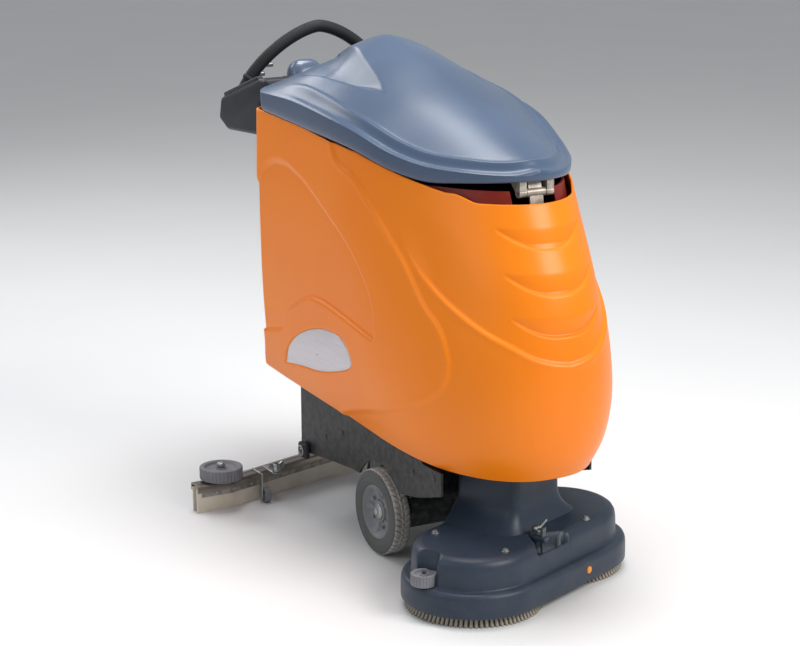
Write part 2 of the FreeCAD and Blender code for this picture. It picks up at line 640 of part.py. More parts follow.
gear_half = WHEEL_OUTER_X - TYRE_WIDTH - GEARBOX_GAP
hanger = [box((s * HANGER_X - HANGER_HALF[0], s * HANGER_X + HANGER_HALF[0]),
              (WHEEL_Y - HANGER_HALF[1], WHEEL_Y + HANGER_HALF[1]), (WHEEL_R, TRAY_Z)) for s in (-1, 1)]
traction = joined([
    rod(GEARBOX_R, (-gear_half, WHEEL_Y, WHEEL_R), (gear_half, WHEEL_Y, WHEEL_R)),
    rod(AXLE_R, (CAP_INSET - WHEEL_OUTER_X, WHEEL_Y, WHEEL_R), (WHEEL_OUTER_X - CAP_INSET, WHEEL_Y, WHEEL_R)),
] + hanger)
save("traction_drive", traction)

screws = []
for side in (-1, 1):
    for y, z in SCREW_PLACES:
        screws.append(rod(SCREW_R, (side * CHASSIS_HALF, y, z), (side * (CHASSIS_HALF + SCREW_HEAD), y, z)))
    y, z = LATCH_AT
    latch_face = side * (CHASSIS_HALF + LATCH_DEPTH)
    screws.append(rod(LATCH_PIN_R, (side * CHASSIS_HALF, y, z), (latch_face + side * SCREW_HEAD, y, z)))
    name = "latch_right" if side < 0 else "latch_left"
    x = sorted([side * (CHASSIS_HALF + GAP), latch_face])
    body = box(x, (y - LATCH_HALF[0], y + LATCH_HALF[0]), (z - LATCH_HALF[1], z + LATCH_HALF[1]))
    body = body.makeFillet(LATCH_CORNER, [e for e in body.Edges if e.BoundBox.XLength > 1])
    ring = tube(*LATCH_RING[:2], (latch_face, y, z), (latch_face + side * LATCH_RING[2], y, z))
    save(name, joined([body, ring]).cut(rod(LATCH_PIN_R + RUNNING, (x[0] - 9, y, z), (x[1] + 9, y, z))))
save("chassis_screws", screws)
save("chassis_frame", chassis)

bracket = []
for side in (-1, 1):
    ends = sorted([side * (ARM_WIDTH / 2 + GAP), side * (ARM_WIDTH / 2 + GAP + 8)])
    bracket.append(side_prism([(CHASSIS_REAR, ARM_PIVOT_Z - 24), (ARM_PIVOT_Y + 14, ARM_PIVOT_Z - 14),
                               (ARM_PIVOT_Y + 14, ARM_PIVOT_Z + 14), (CHASSIS_REAR, ARM_PIVOT_Z + 24)], ends))
bracket_half = ARM_WIDTH / 2 + GAP + 8
bracket.append(rod(ARM_PIN_R, (-bracket_half, ARM_PIVOT_Y, ARM_PIVOT_Z), (bracket_half, ARM_PIVOT_Y, ARM_PIVOT_Z)))
save("squeegee_bracket", joined(bracket))


# ---- wheels ----

for side, hand in ((-1, "right"), (1, "left")):
    centre = (side * (WHEEL_OUTER_X - TYRE_WIDTH), WHEEL_Y, WHEEL_R)
    outward = (side, 0, 0)
    flank_r = TYRE_INNER_R + TYRE_FLANK
    tread_r, tread_edge = WHEEL_R - TYRE_CHAMFER[0], TYRE_CHAMFER[1]
    seat = (TYRE_SEAT, TYRE_WIDTH - TYRE_SEAT)
    tyre = turned([(TYRE_INNER_R, seat[0]), (TYRE_INNER_R, seat[1]), (flank_r, TYRE_WIDTH), (tread_r, TYRE_WIDTH),
                   (WHEEL_R, TYRE_WIDTH - tread_edge), (WHEEL_R, tread_edge), (tread_r, 0), (flank_r, 0)],
                  centre, outward)
    hub_bore = AXLE_R + RUNNING
    dish_r = TYRE_INNER_R - HUB_DISH_R
    boss = (seat[0] - 2, TYRE_WIDTH - HUB_BOSS_INSET)
    hub = turned([(hub_bore, boss[0]), (HUB_BOSS_R, boss[0]), (HUB_BOSS_R, HUB_DISH[0]), (dish_r, HUB_DISH[0] - 2),
                  (dish_r, seat[0]), (TYRE_INNER_R, seat[0]), (TYRE_INNER_R, seat[1]),
                  (dish_r + HUB_DISH_R / 2, seat[1]), (dish_r, HUB_DISH[1]), (HUB_BOSS_R, HUB_DISH[1]),
                  (HUB_BOSS_R, boss[1]), (hub_bore, boss[1])], centre, outward)
    cap = turned(WHEEL_CAP, (side * (WHEEL_OUTER_X - CAP_INSET), WHEEL_Y, WHEEL_R), outward)
    save("tyre_" + hand, tyre)
    save("hub_" + hand, hub)
    save("wheel_cap_" + hand, cap)

fork_inner = CASTER_WIDTH / 2 + GAP
fork_outer = fork_inner + FORK_PLATE
axle_y = CASTER_Y + CASTER_TRAIL
fork_pieces = [
    rod(CASTER_STEM_R, (0, CASTER_Y, CASTER_TOP - 10), (0, CASTER_Y, CASTER_TOP + 36)),
    box((-fork_outer, fork_outer), (CASTER_Y - 20, axle_y + 14), (CASTER_TOP - 14, CASTER_TOP - GAP)),
    rod(CASTER_AXLE_R, (-fork_outer, axle_y, CASTER_R), (fork_outer, axle_y, CASTER_R)),
]
for side in (-1, 1):
    ends = sorted([side * fork_inner, side * fork_outer])
    fork_pieces.append(side_prism([(CASTER_Y - 20, CASTER_TOP - 14), (axle_y + 14, CASTER_TOP - 14),
                                   (axle_y + 12, CASTER_R - 12), (axle_y - 12, CASTER_R - 12)], ends))
save("caster_fork", joined(fork_pieces))
save("caster_wheel", turned([(CASTER_AXLE_R + RUNNING, -CASTER_WIDTH / 2), (CASTER_R - 3, -CASTER_WIDTH / 2),
                             (CASTER_R, 3 - CASTER_WIDTH / 2), (CASTER_R, CASTER_WIDTH / 2 - 3),
                             (CASTER_R - 3, CASTER_WIDTH / 2), (CASTER_AXLE_R + RUNNING, CASTER_WIDTH / 2)],
                            (0, axle_y, CASTER_R), (1, 0, 0)))


# ---- brush deck ----

def deck_outline(r, z):
    """The two brush circles joined by straight sides, as a solid between z[0] and z[1]."""
    half = BRUSH_SPACING / 2
    ends = [Part.Arc(V(half, -r, 0), V(half + r, 0, 0), V(half, r, 0)).toShape(),
            Part.makeLine(V(half, r, 0), V(-half, r, 0)),
            Part.Arc(V(-half, r, 0), V(-half - r, 0, 0), V(-half, -r, 0)).toShape(),
            Part.makeLine(V(-half, -r, 0), V(half, -r, 0))]
    solid = Part.Face(Part.Wire(ends)).extrude(V(0, 0, z[1] - z[0]))
    solid.Placement = FreeCAD.Placement(V(DECK_X, DECK_Y, z[0]), FreeCAD.Rotation(V(0, 0, 1), DECK_TURN))
    return solid


def in_deck(shape):
    placed = shape.copy()
    placed.Placement = FreeCAD.Placement(V(DECK_X, DECK_Y, 0), FreeCAD.Rotation(V(0, 0, 1), DECK_TURN))
    return placed


bumper_turn = math.radians(BUMPER_ANGLE)
bumper_u = -BRUSH_SPACING / 2 + BUMPER_REACH * math.cos(bumper_turn)
bumper_v = BUMPER_REACH * math.sin(bumper_turn)
bumper_z = (SKIRT_Z[1] + 1, SKIRT_Z[1] + 29)

skirt = deck_outline(SKIRT_R, SKIRT_Z)
skirt = skirt.makeFillet(8, [e for e in skirt.Edges if abs(e.CenterOfMass.z - SKIRT_Z[1]) < 0.1])
tier = deck_outline(TIER_R, (SKIRT_Z[1] - 2, TIER_TOP))
tier = tier.makeFillet(14, [e for e in tier.Edges if abs(e.CenterOfMass.z - TIER_TOP) < 0.1])
tier = tier.cut(rod(BUMPER_R + 5, deck_point(bumper_u, bumper_v, SKIRT_Z[1]), deck_point(bumper_u, bumper_v, 170)))
bumper_wall = rod(BUMPER_R + 5 + DECK_WALL, deck_point(bumper_u, bumper_v, SKIRT_Z[1]),
                  deck_point(bumper_u, bumper_v, TIER_TOP - DECK_WALL))
deck_inside = deck_outline(TIER_R - DECK_WALL, (SKIRT_Z[1] - DECK_WALL - 1, TIER_TOP - DECK_WALL)).cut(bumper_wall)
brush_room = deck_outline(SKIRT_R - DECK_WALL, (SKIRT_Z[0] - 1, SKIRT_Z[1] - DECK_WALL))


def wheel_room(wall):
    """The deck's rear is flattened where it comes near the left drive wheel."""
    inner_x = WHEEL_OUTER_X - TYRE_WIDTH - 4 * WHEEL_ROOM - wall
    front_y = WHEEL_Y - WHEEL_R - WHEEL_ROOM - wall
    return box((inner_x, inner_x + 200), (front_y, front_y + 200), (0, TIER_TOP + 60))


brush_room = brush_room.cut(wheel_room(WHEEL_SIDE_WALL))
deck_inside = deck_inside.cut(wheel_room(WHEEL_SIDE_WALL))
deck_cover = joined([skirt, tier]).cut(wheel_room(0)).cut(deck_inside).cut(brush_room)

column = box(COLUMN_U, COLUMN_V, (TIER_TOP, COLUMN_TOP))
column = column.makeFillet(COLUMN_CORNER, [e for e in column.Edges if e.BoundBox.ZLength > 10])
column_room = box((COLUMN_U[0] + DECK_WALL, COLUMN_U[1] - DECK_WALL), (COLUMN_V[0] + DECK_WALL, COLUMN_V[1] - DECK_WALL),
                  (TIER_TOP + DECK_WALL, COLUMN_TOP - DECK_WALL))
guide_sleeves = [rod(GUIDE_R + 7, (u, v, TIER_TOP + 1), (u, v, COLUMN_TOP - 1)) for u, v in guide_places]
guide_bores = [rod(GUIDE_R + RUNNING, (u, v, GUIDE_FOOT - DECK_TRAVEL - 5), (u, v, COLUMN_TOP + 5))
               for u, v in guide_places]
lift_foot = rod(LIFT_ROD_R + 12, (*column_mid, COLUMN_TOP - 40), (*column_mid, COLUMN_TOP - 1))
column = joined([column.cut(column_room), lift_foot] + guide_sleeves)
for bore in guide_bores + [rod(LIFT_ROD_R, (*column_mid, COLUMN_TOP - 30), (*column_mid, COLUMN_TOP + 5))]:
    column = column.cut(bore)
save("deck_column", in_deck(column))
save("lift_rod", in_deck(rod(LIFT_ROD_R, (*column_mid, COLUMN_TOP - 30), (*column_mid, LIFT_ROD_TOP))))

bolts = []
for side in (-1, 1):
    for v in (-95, 95):
        u = side * BRUSH_SPACING / 2 - 15
        head = rod(DECK_BOLT_R, (u, v, TIER_TOP), (u, v, TIER_TOP + 6))
        bolts.append(in_deck(head))
save("deck_bolts", bolts)
save("deck_cover", joined([deck_cover, rod(BUMPER_PIN_R, deck_point(bumper_u, bumper_v, SKIRT_Z[1] - 1),
                                           deck_point(bumper_u, bumper_v, bumper_z[1] + 4))]))
save("bumper_roller", tube(BUMPER_R, BUMPER_PIN_R + RUNNING, deck_point(bumper_u, bumper_v, bumper_z[0]),
                           deck_point(bumper_u, bumper_v, bumper_z[1])))
save("edge_marker", in_deck(rod(9, (MARKER_U, -SKIRT_R, MARKER_Z), (MARKER_U, -SKIRT_R - 2, MARKER_Z))))

lever_u, lever_v = RELEASE_LEVER_AT
lever_z = TIER_TOP + RELEASE_PIVOT_RISE
lever_tip = (lever_u + RELEASE_LEVER_REACH[0], lever_v + RELEASE_LEVER_REACH[1], lever_z + RELEASE_LEVER_REACH[2])
release_lever = joined([
    rod(LEVER_R, (lever_u, lever_v, lever_z), lever_tip),
    rod(2 * LEVER_R, (lever_u, lever_v - 6, lever_z), (lever_u, lever_v + 6, lever_z)),
]).cut(rod(RELEASE_PIN_R + RUNNING, (lever_u, lever_v - 30, lever_z), (lever_u, lever_v + 30, lever_z)))
save("release_lever", in_deck(release_lever))
lever_post = joined([
    rod(RELEASE_PIN_R, (lever_u, lever_v - 20, lever_z), (lever_u, lever_v + 14, lever_z)),
    box((lever_u - 6, lever_u + 6), (lever_v + 8, lever_v + 14), (TIER_TOP, lever_z + 6)),
    box((lever_u - 6, lever_u + 6), (lever_v - 20, lever_v - 14), (TIER_TOP, lever_z + 6)),
])
save("lever_mount", in_deck(lever_post))

motors = []
for side, hand in ((-1, "right"), (1, "left")):
    u = side * BRUSH_SPACING / 2
    motors.append(joined([
        rod(MOTOR_R, deck_point(u, 0, SKIRT_Z[1] + 12), deck_point(u, 0, TIER_TOP - DECK_WALL)),
        rod(MOTOR_SHAFT_R, deck_point(u, 0, BRISTLE_TOP + 2), deck_point(u, 0, SKIRT_Z[1] + 13)),
    ]))
    hub_r = MOTOR_SHAFT_R + RUNNING
    save("brush_disc_" + hand, turned([
        (hub_r, BRISTLE_TOP), (BRUSH_TIP_R - 11, BRISTLE_TOP), (BRUSH_TIP_R - 11, BRISTLE_TOP + DISC_THICK),
        (34, BRISTLE_TOP + DISC_THICK), (34, SKIRT_Z[1] + 4), (hub_r, SKIRT_Z[1] + 4)],
        deck_point(u, 0, 0), (0, 0, 1)))
    save("bristles_" + hand, turned([
        (60, 0), (BRUSH_TIP_R, 0), (BRUSH_TIP_R - 12, BRISTLE_TOP), (72, BRISTLE_TOP)],
        deck_point(u, 0, 0), (0, 0, 1)))
save("brush_motors", motors)


# ---- squeegee ----

squeegee_slope = (SQUEEGEE_CENTRE_Y - SQUEEGEE_TIP_Y) / SQUEEGEE_BEND_X


def squeegee_y(x):
    """The middle of the squeegee on its sloping stretch."""
    return SQUEEGEE_TIP_Y + (SQUEEGEE_BEND_X - x) * squeegee_slope


def squeegee_band(shift, z):
    """A strip that follows the shallow V of the squeegee between two shifts in Y."""
    slope = squeegee_slope
    soft = 70.0
    drop = slope * soft
    edges = []
    for step, direction in ((shift[0], 1), (shift[1], -1)):
        marks = [(-SQUEEGEE_HALF, SQUEEGEE_TIP_Y), (-SQUEEGEE_BEND_X, SQUEEGEE_TIP_Y),
                 (-soft, SQUEEGEE_CENTRE_Y - drop), (soft, SQUEEGEE_CENTRE_Y - drop),
                 (SQUEEGEE_BEND_X, SQUEEGEE_TIP_Y), (SQUEEGEE_HALF, SQUEEGEE_TIP_Y)]
        points = [V(x, y + step, z[0]) for x, y in marks]
        top = V(0, SQUEEGEE_CENTRE_Y - drop / 2 + step, z[0])
        edges.append([Part.makeLine(points[0], points[1]), Part.makeLine(points[1], points[2]),
                      Part.Arc(points[2], top, points[3]).toShape(), Part.makeLine(points[3], points[4]),
                      Part.makeLine(points[4], points[5]), points[0], points[5]])
    near, far = edges
    ends = [Part.makeLine(near[6], far[6]), Part.makeLine(far[5], near[5])]
    wire = Part.Wire(Part.__sortEdges__(near[:5] + far[:5] + ends))
    return Part.Face(wire).extrude(V(0, 0, z[1] - z[0]))


half_gap = BLADE_GAP / 2
channel = squeegee_band((-half_gap - 7, half_gap + 7), (BLADE_HEIGHT, CHANNEL_TOP))
core = squeegee_band((-half_gap + BLADE_THICK, half_gap - BLADE_THICK), (BLADE_HEIGHT - 22, BLADE_HEIGHT))
core = core.cut(squeegee_band((-half_gap + BLADE_THICK + 3, half_gap - BLADE_THICK - 3), (0, BLADE_HEIGHT + 1)))
core = core.common(box((-SQUEEGEE_HALF + 20, SQUEEGEE_HALF - 20), (0, 600), (0, 100)))
mouth_y = SQUEEGEE_CENTRE_Y - squeegee_slope * 35
swing_plate_z = (CHANNEL_TOP, CHANNEL_TOP + 6)
swing_plate = box((-45, 45), (SWING_Y - 26, mouth_y), swing_plate_z)
swing_pin = rod(SWING_PIN_R, (0, SWING_Y, CHANNEL_TOP + 2), (0, SWING_Y, ARM_EYE_Z[1] + 8))
spigot_hole = rod(SPIGOT_R - SPIGOT_WALL, (0, mouth_y, BLADE_HEIGHT - 30), (0, mouth_y, CHANNEL_TOP + 60))
save("squeegee_channel", joined([channel, core, swing_plate, swing_pin]).cut(spigot_hole))
save("front_blade", squeegee_band((-half_gap, -half_gap + BLADE_THICK), (0, BLADE_HEIGHT)))
save("rear_blade", squeegee_band((half_gap - BLADE_THICK, half_gap), (0, BLADE_HEIGHT)))
clamp_z = (BLADE_HEIGHT - 20, BLADE_HEIGHT)
save("blade_clamps", [squeegee_band((-half_gap - 3, -half_gap), clamp_z), squeegee_band((half_gap, half_gap + 3), clamp_z)])
spigot_turn = math.radians(SPIGOT_TILT)


def along_spigot(reach):
    """A point on the spigot's axis, measured from the top of the swing plate."""
    return (0, mouth_y + reach * math.sin(spigot_turn), swing_plate_z[1] + reach * math.cos(spigot_turn))


spigot_tip = along_spigot(SPIGOT_FOOT + SPIGOT_LENGTH)
spigot = joined([
    rod(SPIGOT_R, along_spigot(0), spigot_tip),
    rod(SPIGOT_R + SPIGOT_COLLAR, along_spigot(-SPIGOT_R), along_spigot(SPIGOT_FOOT)),
]).cut(rod(SPIGOT_R - SPIGOT_WALL, along_spigot(-2 * SPIGOT_R), spigot_tip))
under_plate = box((-ARM_WIDTH, ARM_WIDTH), (SWING_Y, mouth_y + ARM_WIDTH), (0, swing_plate_z[1]))
save("suction_spigot", spigot.cut(under_plate))

fittings = []
for side, hand in ((-1, "right"), (1, "left")):
    x, y = side * END_ROLLER[0], END_ROLLER[1]
    roller_z = (CHANNEL_TOP + 5, CHANNEL_TOP + 5 + END_ROLLER_HEIGHT)
    fittings.append(joined([rod(14, (x, y, CHANNEL_TOP), (x, y, CHANNEL_TOP + 4)),
                            rod(6, (x, y, CHANNEL_TOP), (x, y, roller_z[1] + 3)),
                            rod(11, (x, y, roller_z[1] + 1), (x, y, roller_z[1] + 7))]))
    save("end_roller_" + hand, tube(END_ROLLER_R, 6 + RUNNING, (x, y, roller_z[0]), (x, y, roller_z[1])))

    x, y = side * SUPPORT_WHEEL[0], SUPPORT_WHEEL[1]
    r = SUPPORT_WHEEL_R
    save("support_wheel_" + hand, tube(r, 4 + RUNNING, (x - 8, y, r), (x + 8, y, r)))
    outer = sorted([x + side * (8 + GAP), x + side * (13 + GAP)])
    channel_y = squeegee_y(SUPPORT_WHEEL[0])
    hanger_plate = side_prism([(y - 8, r - 8), (y + 8, r - 8), (y + 8, CHANNEL_TOP), (channel_y, CHANNEL_TOP),
                               (channel_y, CHANNEL_TOP + 5), (y - 8, CHANNEL_TOP + 5)], outer)
    fittings.append(joined([hanger_plate, rod(4, (min(x - 11, outer[0]), y, r), (max(x + 11, outer[1]), y, r))]))

    x, y = side * KNOB_AT[0], KNOB_AT[1]
    low = CHANNEL_TOP + 4
    channel_y = squeegee_y(KNOB_AT[0])
    stud = rod(5, (x, y, CHANNEL_TOP), (x, y, low + 18))
    fittings.append(joined([stud, box((x - 12, x + 12), (y - 12, channel_y), (CHANNEL_TOP, low))]))
    wings = [box((x - KNOB_R, x + KNOB_R), (y - 3.5, y + 3.5), (low + 5, low + 24)),
             rod(10, (x, y, low + 1), (x, y, low + 21))]
    save("wing_knob_" + hand, joined(wings).cut(rod(5 + RUNNING, (x, y, low), (x, y, low + 18.5))))
save("squeegee_fittings", fittings)

arm_slope = [(ARM_PIVOT_Y - 6, ARM_PIVOT_Z - 10), (ARM_PIVOT_Y + 8, ARM_PIVOT_Z + 8),
             (SWING_Y - 10, ARM_EYE_Z[1]), (SWING_Y - 10, ARM_EYE_Z[0])]
arm = joined([
    side_prism(arm_slope, (-28, 28)),
    rod(16, (-ARM_WIDTH / 2, ARM_PIVOT_Y, ARM_PIVOT_Z), (ARM_WIDTH / 2, ARM_PIVOT_Y, ARM_PIVOT_Z)),
    rod(26, (0, SWING_Y, ARM_EYE_Z[0]), (0, SWING_Y, ARM_EYE_Z[1])),
])
arm = arm.cut(rod(ARM_PIN_R + RUNNING, (-100, ARM_PIVOT_Y, ARM_PIVOT_Z), (100, ARM_PIVOT_Y, ARM_PIVOT_Z)))
arm = arm.cut(rod(SWING_PIN_R + RUNNING, (0, SWING_Y, 50), (0, SWING_Y, 160)))
save("squeegee_arm", arm)
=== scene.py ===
import math

import bmesh
import bpy
import numpy as np
from mathutils import Matrix, Vector


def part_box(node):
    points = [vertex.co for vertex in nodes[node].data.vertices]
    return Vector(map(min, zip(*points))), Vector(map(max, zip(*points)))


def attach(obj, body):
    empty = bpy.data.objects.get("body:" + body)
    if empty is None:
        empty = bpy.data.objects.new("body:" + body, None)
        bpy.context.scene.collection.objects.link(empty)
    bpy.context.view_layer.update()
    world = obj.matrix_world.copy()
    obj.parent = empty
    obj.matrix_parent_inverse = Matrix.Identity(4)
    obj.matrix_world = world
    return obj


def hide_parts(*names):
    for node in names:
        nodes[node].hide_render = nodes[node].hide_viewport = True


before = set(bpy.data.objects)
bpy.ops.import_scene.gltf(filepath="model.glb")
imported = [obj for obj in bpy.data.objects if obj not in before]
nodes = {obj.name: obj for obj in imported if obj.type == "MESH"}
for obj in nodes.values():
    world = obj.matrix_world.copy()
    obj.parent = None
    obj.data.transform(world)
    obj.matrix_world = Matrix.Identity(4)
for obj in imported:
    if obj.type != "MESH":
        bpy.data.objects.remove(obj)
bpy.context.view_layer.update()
hands = {"right": -1, "left": 1}


# ---- small tools ----

def smoothStep(low, high, value):
    t = np.clip((value - low) / (high - low), 0, 1)
    return t * t * (3 - 2 * t)


def readTable(table, key):
    # straight reading between (key, value) rows
    rows = sorted(table)
    return np.interp(key, [r[0] for r in rows], [r[1] for r in rows])


def smoothTable(keys, values, at):
    # soft curve through the rows, with the slope of the neighbours
    keys, values = np.array(keys), np.array(values)
    slopes = np.gradient(values, keys)
    i = np.clip(np.searchsorted(keys, at) - 1, 0, len(keys) - 2)
    step = keys[i + 1] - keys[i]
    t = np.clip((at - keys[i]) / step, 0, 1)
    near = (2 * t**3 - 3 * t**2 + 1) * values[i] + (t**3 - 2 * t**2 + t) * step * slopes[i]
    far = (3 * t**2 - 2 * t**3) * values[i + 1] + (t**3 - t**2) * step * slopes[i + 1]
    return near + far


def curveDistance(px, py, points, closed=False):
    # distance from each (px, py) to a polyline drawn through points
    pts = np.array(points + points[:1] if closed else points)
    best = np.full(np.shape(px), 1e9)
    for a, b in zip(pts, pts[1:]):
        d = b - a
        t = np.clip(((px - a[0]) * d[0] + (py - a[1]) * d[1]) / (d @ d), 0, 1)
        best = np.minimum(best, np.hypot(px - a[0] - t * d[0], py - a[1] - t * d[1]))
    return best


def insideCurve(px, py, points):
    # True where (px, py) lies inside the closed outline
    inside = np.zeros(np.shape(px), bool)
    for (x1, y1), (x2, y2) in zip(points, points[1:] + points[:1]):
        if y1 == y2:
            continue
        crosses = ((y1 > py) != (y2 > py)) & (px < (x2 - x1) * (py - y1) / (y2 - y1) + x1)
        inside ^= crosses
    return inside


def softCurve(points, perSpan=6):
    # Catmull-Rom points between the given ones
    pts = [np.array(p, float) for p in points]
    pts = [2 * pts[0] - pts[1]] + pts + [2 * pts[-1] - pts[-2]]
    out = []
    for a, b, c, d in zip(pts, pts[1:], pts[2:], pts[3:]):
        for k in range(perSpan):
            t = k / perSpan
            out.append(tuple(0.5 * (2 * b + (c - a) * t + (2 * a - 5 * b + 4 * c - d) * t**2
                                    + (3 * b - a - 3 * c + d) * t**3)))
    return out + [tuple(pts[-2])]


def gridFaces(rows, columns, wrap=False, flip=False):
    last = columns if wrap else columns - 1
    faces = []
    for r in range(rows - 1):
        for c in range(last):
            a = r * columns + c
            b = r * columns + (c + 1) % columns
            quad = (a, b, b + columns, a + columns)
            faces.append(quad[::-1] if flip else quad)
    return faces


def joinParts(parts):
    # several (vertices, faces) lists as one
    verts, faces = [], []
    for v, f in parts:
        faces += [tuple(i + len(verts) for i in face) for face in f]
        verts += list(v)
    return verts, faces


def addMesh(name, parts, material, body, stands=(), sharp=None):
    # one object made of (vertices, faces) parts, which rides on a body
    verts, faces = joinParts(parts)
    mesh = bpy.data.meshes.new(name)
    mesh.from_pydata([tuple(v) for v in verts], [], faces)
    mesh.validate()
    mesh.update()
    piece = bpy.data.objects.new(name, mesh)
    bpy.context.scene.collection.objects.link(piece)
    mesh.materials.append(material)
    mesh.polygons.foreach_set("use_smooth", [True] * len(mesh.polygons))
    if sharp:
        mesh.set_sharp_from_angle(angle=math.radians(sharp))
    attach(piece, body)
    if stands:
        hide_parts(*stands)
    return piece


def mirrored(half, between=()):
    # an outline of (radius, height) points, the points between, and the first ones turned upside down
    return half + list(between) + [(r, -h) for r, h in half[::-1]]


def turnedMesh(profile, centre, axis, steps=64):
    # (radius, height) outline turned about an axis; returns vertices and faces
    spin = Vector((0, 0, 1)).rotation_difference(Vector(axis)).to_matrix()
    verts = []
    for r, h in profile:
        for k in range(steps):
            turn = 2 * math.pi * k / steps
            verts.append(Vector(centre) + spin @ Vector((r * math.cos(turn), r * math.sin(turn), h)))
    return verts, gridFaces(len(profile), steps, wrap=True)


def roundBox(size, centre, radius, turn=Matrix.Identity(3), segments=3):
    shape = bmesh.new()
    bmesh.ops.create_cube(shape, size=1)
    for v in shape.verts:
        v.co = Vector((v.co.x * size[0], v.co.y * size[1], v.co.z * size[2]))
    bmesh.ops.bevel(shape, geom=list(shape.edges), offset=radius, segments=segments, profile=0.5,
                    affect="EDGES")
    verts = [turn @ v.co + Vector(centre) for v in shape.verts]
    faces = [tuple(v.index for v in f.verts) for f in shape.faces]
    shape.free()
    return verts, faces


def middle(node):
    low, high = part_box(node)
    return (low + high) / 2


def sizeOf(node):
    low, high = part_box(node)
    return high - low


# ---- effects shared by the finishes, as node groups ----

def newGroup(name, inputs, outputs):
    group = bpy.data.node_groups.new(name, "ShaderNodeTree")
    for label, kind, value in inputs:
        socket = group.interface.new_socket(label, in_out="INPUT", socket_type=kind)
        socket.default_value = value
    for label, kind in outputs:
        group.interface.new_socket(label, in_out="OUTPUT", socket_type=kind)
    return group, group.nodes.new("NodeGroupInput"), group.nodes.new("NodeGroupOutput")


def addNode(tree, kind, links=None, **settings):
    node = tree.nodes.new(kind)
    for key, value in settings.items():
        setattr(node, key, value)
    for key, value in (links or {}).items():
        if isinstance(value, bpy.types.NodeSocket):
            tree.links.new(value, node.inputs[key])
        else:
            node.inputs[key].default_value = value
    return node


def mixNode(tree, share, first, second):
    return addNode(tree, "ShaderNodeMix", {0: share, 6: first, 7: second}, data_type="RGBA").outputs[2]


def noiseNode(tree, place, scale, **settings):
    values = {"Vector": place, "Scale": scale} | {key.title(): value for key, value in settings.items()}
    return addNode(tree, "ShaderNodeTexNoise", values).outputs["Fac"]


def mathNode(tree, operation, a, b=0.5):
    return addNode(tree, "ShaderNodeMath", {0: a, 1: b}, operation=operation).outputs[0]


def rampMask(tree, value, low, high):
    node = addNode(tree, "ShaderNodeMapRange", {"Value": value, "From Min": low, "From Max": high},
                   interpolation_type="SMOOTHSTEP")
    return node.outputs["Result"]


def objectPlace(tree):
    return addNode(tree, "ShaderNodeTexCoord").outputs["Object"]


def mouldedSkinGroup():
    # colour drift, gloss drift and a fine pebble, for every moulded plastic and rubber
    group, given, made = newGroup("mouldedSkin", [("Colour", "NodeSocketColor", (0.5, 0.5, 0.5, 1)),
                                                  ("Drift Colour", "NodeSocketColor", (0.4, 0.4, 0.4, 1)),
                                                  ("Drift Scale", "NodeSocketFloat", 3.0),
                                                  ("Pebble Scale", "NodeSocketFloat", 900.0),
                                                  ("Roughness", "NodeSocketFloat", 0.4),
                                                  ("Gloss Drift", "NodeSocketFloat", 0.08)],
                                  [("Colour", "NodeSocketColor"), ("Roughness", "NodeSocketFloat"),
                                   ("Height", "NodeSocketFloat")])
    place = objectPlace(group)
    drift = noiseNode(group, place, given.outputs["Drift Scale"], detail=3.0)
    pebble = noiseNode(group, place, given.outputs["Pebble Scale"], detail=2.0, roughness=0.6)
    smudge = noiseNode(group, place, 14.0, detail=5.0, roughness=0.65)
    share = rampMask(group, drift, 0.35, 0.68)
    colour = mixNode(group, share, given.outputs["Colour"], given.outputs["Drift Colour"])
    swing = mathNode(group, "MULTIPLY", mathNode(group, "SUBTRACT", smudge, 0.5),
                     given.outputs["Gloss Drift"])
    rough = mathNode(group, "ADD", given.outputs["Roughness"], mathNode(group, "MULTIPLY", swing, 2.0))
    group.links.new(colour, made.inputs["Colour"])
    group.links.new(rough, made.inputs["Roughness"])
    group.links.new(pebble, made.inputs["Height"])
    return group


def floorDustGroup():
    # a patchy mask that is strongest at the floor and ends at a height
    group, given, made = newGroup("floorDust", [("Top", "NodeSocketFloat", 0.3),
                                                ("Amount", "NodeSocketFloat", 0.5),
                                                ("Patch Scale", "NodeSocketFloat", 18.0)],
                                  [("Mask", "NodeSocketFloat")])
    place = objectPlace(group)
    height = addNode(group, "ShaderNodeSeparateXYZ", {0: place}).outputs["Z"]
    falling = mathNode(group, "SUBTRACT", 1.0, mathNode(group, "DIVIDE", height, given.outputs["Top"]))
    patches = noiseNode(group, place, given.outputs["Patch Scale"], detail=6.0, roughness=0.7)
    low = addNode(group, "ShaderNodeClamp", {0: falling}).outputs[0]
    mask = mathNode(group, "MULTIPLY", low, rampMask(group, patches, 0.38, 0.72))
    group.links.new(mathNode(group, "MULTIPLY", mask, given.outputs["Amount"]), made.inputs["Mask"])
    return group


def edgeWearGroup():
    # paler, rubbed outer edges
    group, given, made = newGroup("edgeWear", [("Amount", "NodeSocketFloat", 0.5)],
                                  [("Mask", "NodeSocketFloat")])
    sharpness = addNode(group, "ShaderNodeNewGeometry").outputs["Pointiness"]
    rubs = noiseNode(group, objectPlace(group), 60.0, detail=4.0)
    edge = mathNode(group, "MULTIPLY", rampMask(group, sharpness, 0.53, 0.60),
                    rampMask(group, rubs, 0.35, 0.65))
    group.links.new(mathNode(group, "MULTIPLY", edge, given.outputs["Amount"]), made.inputs["Mask"])
    return group


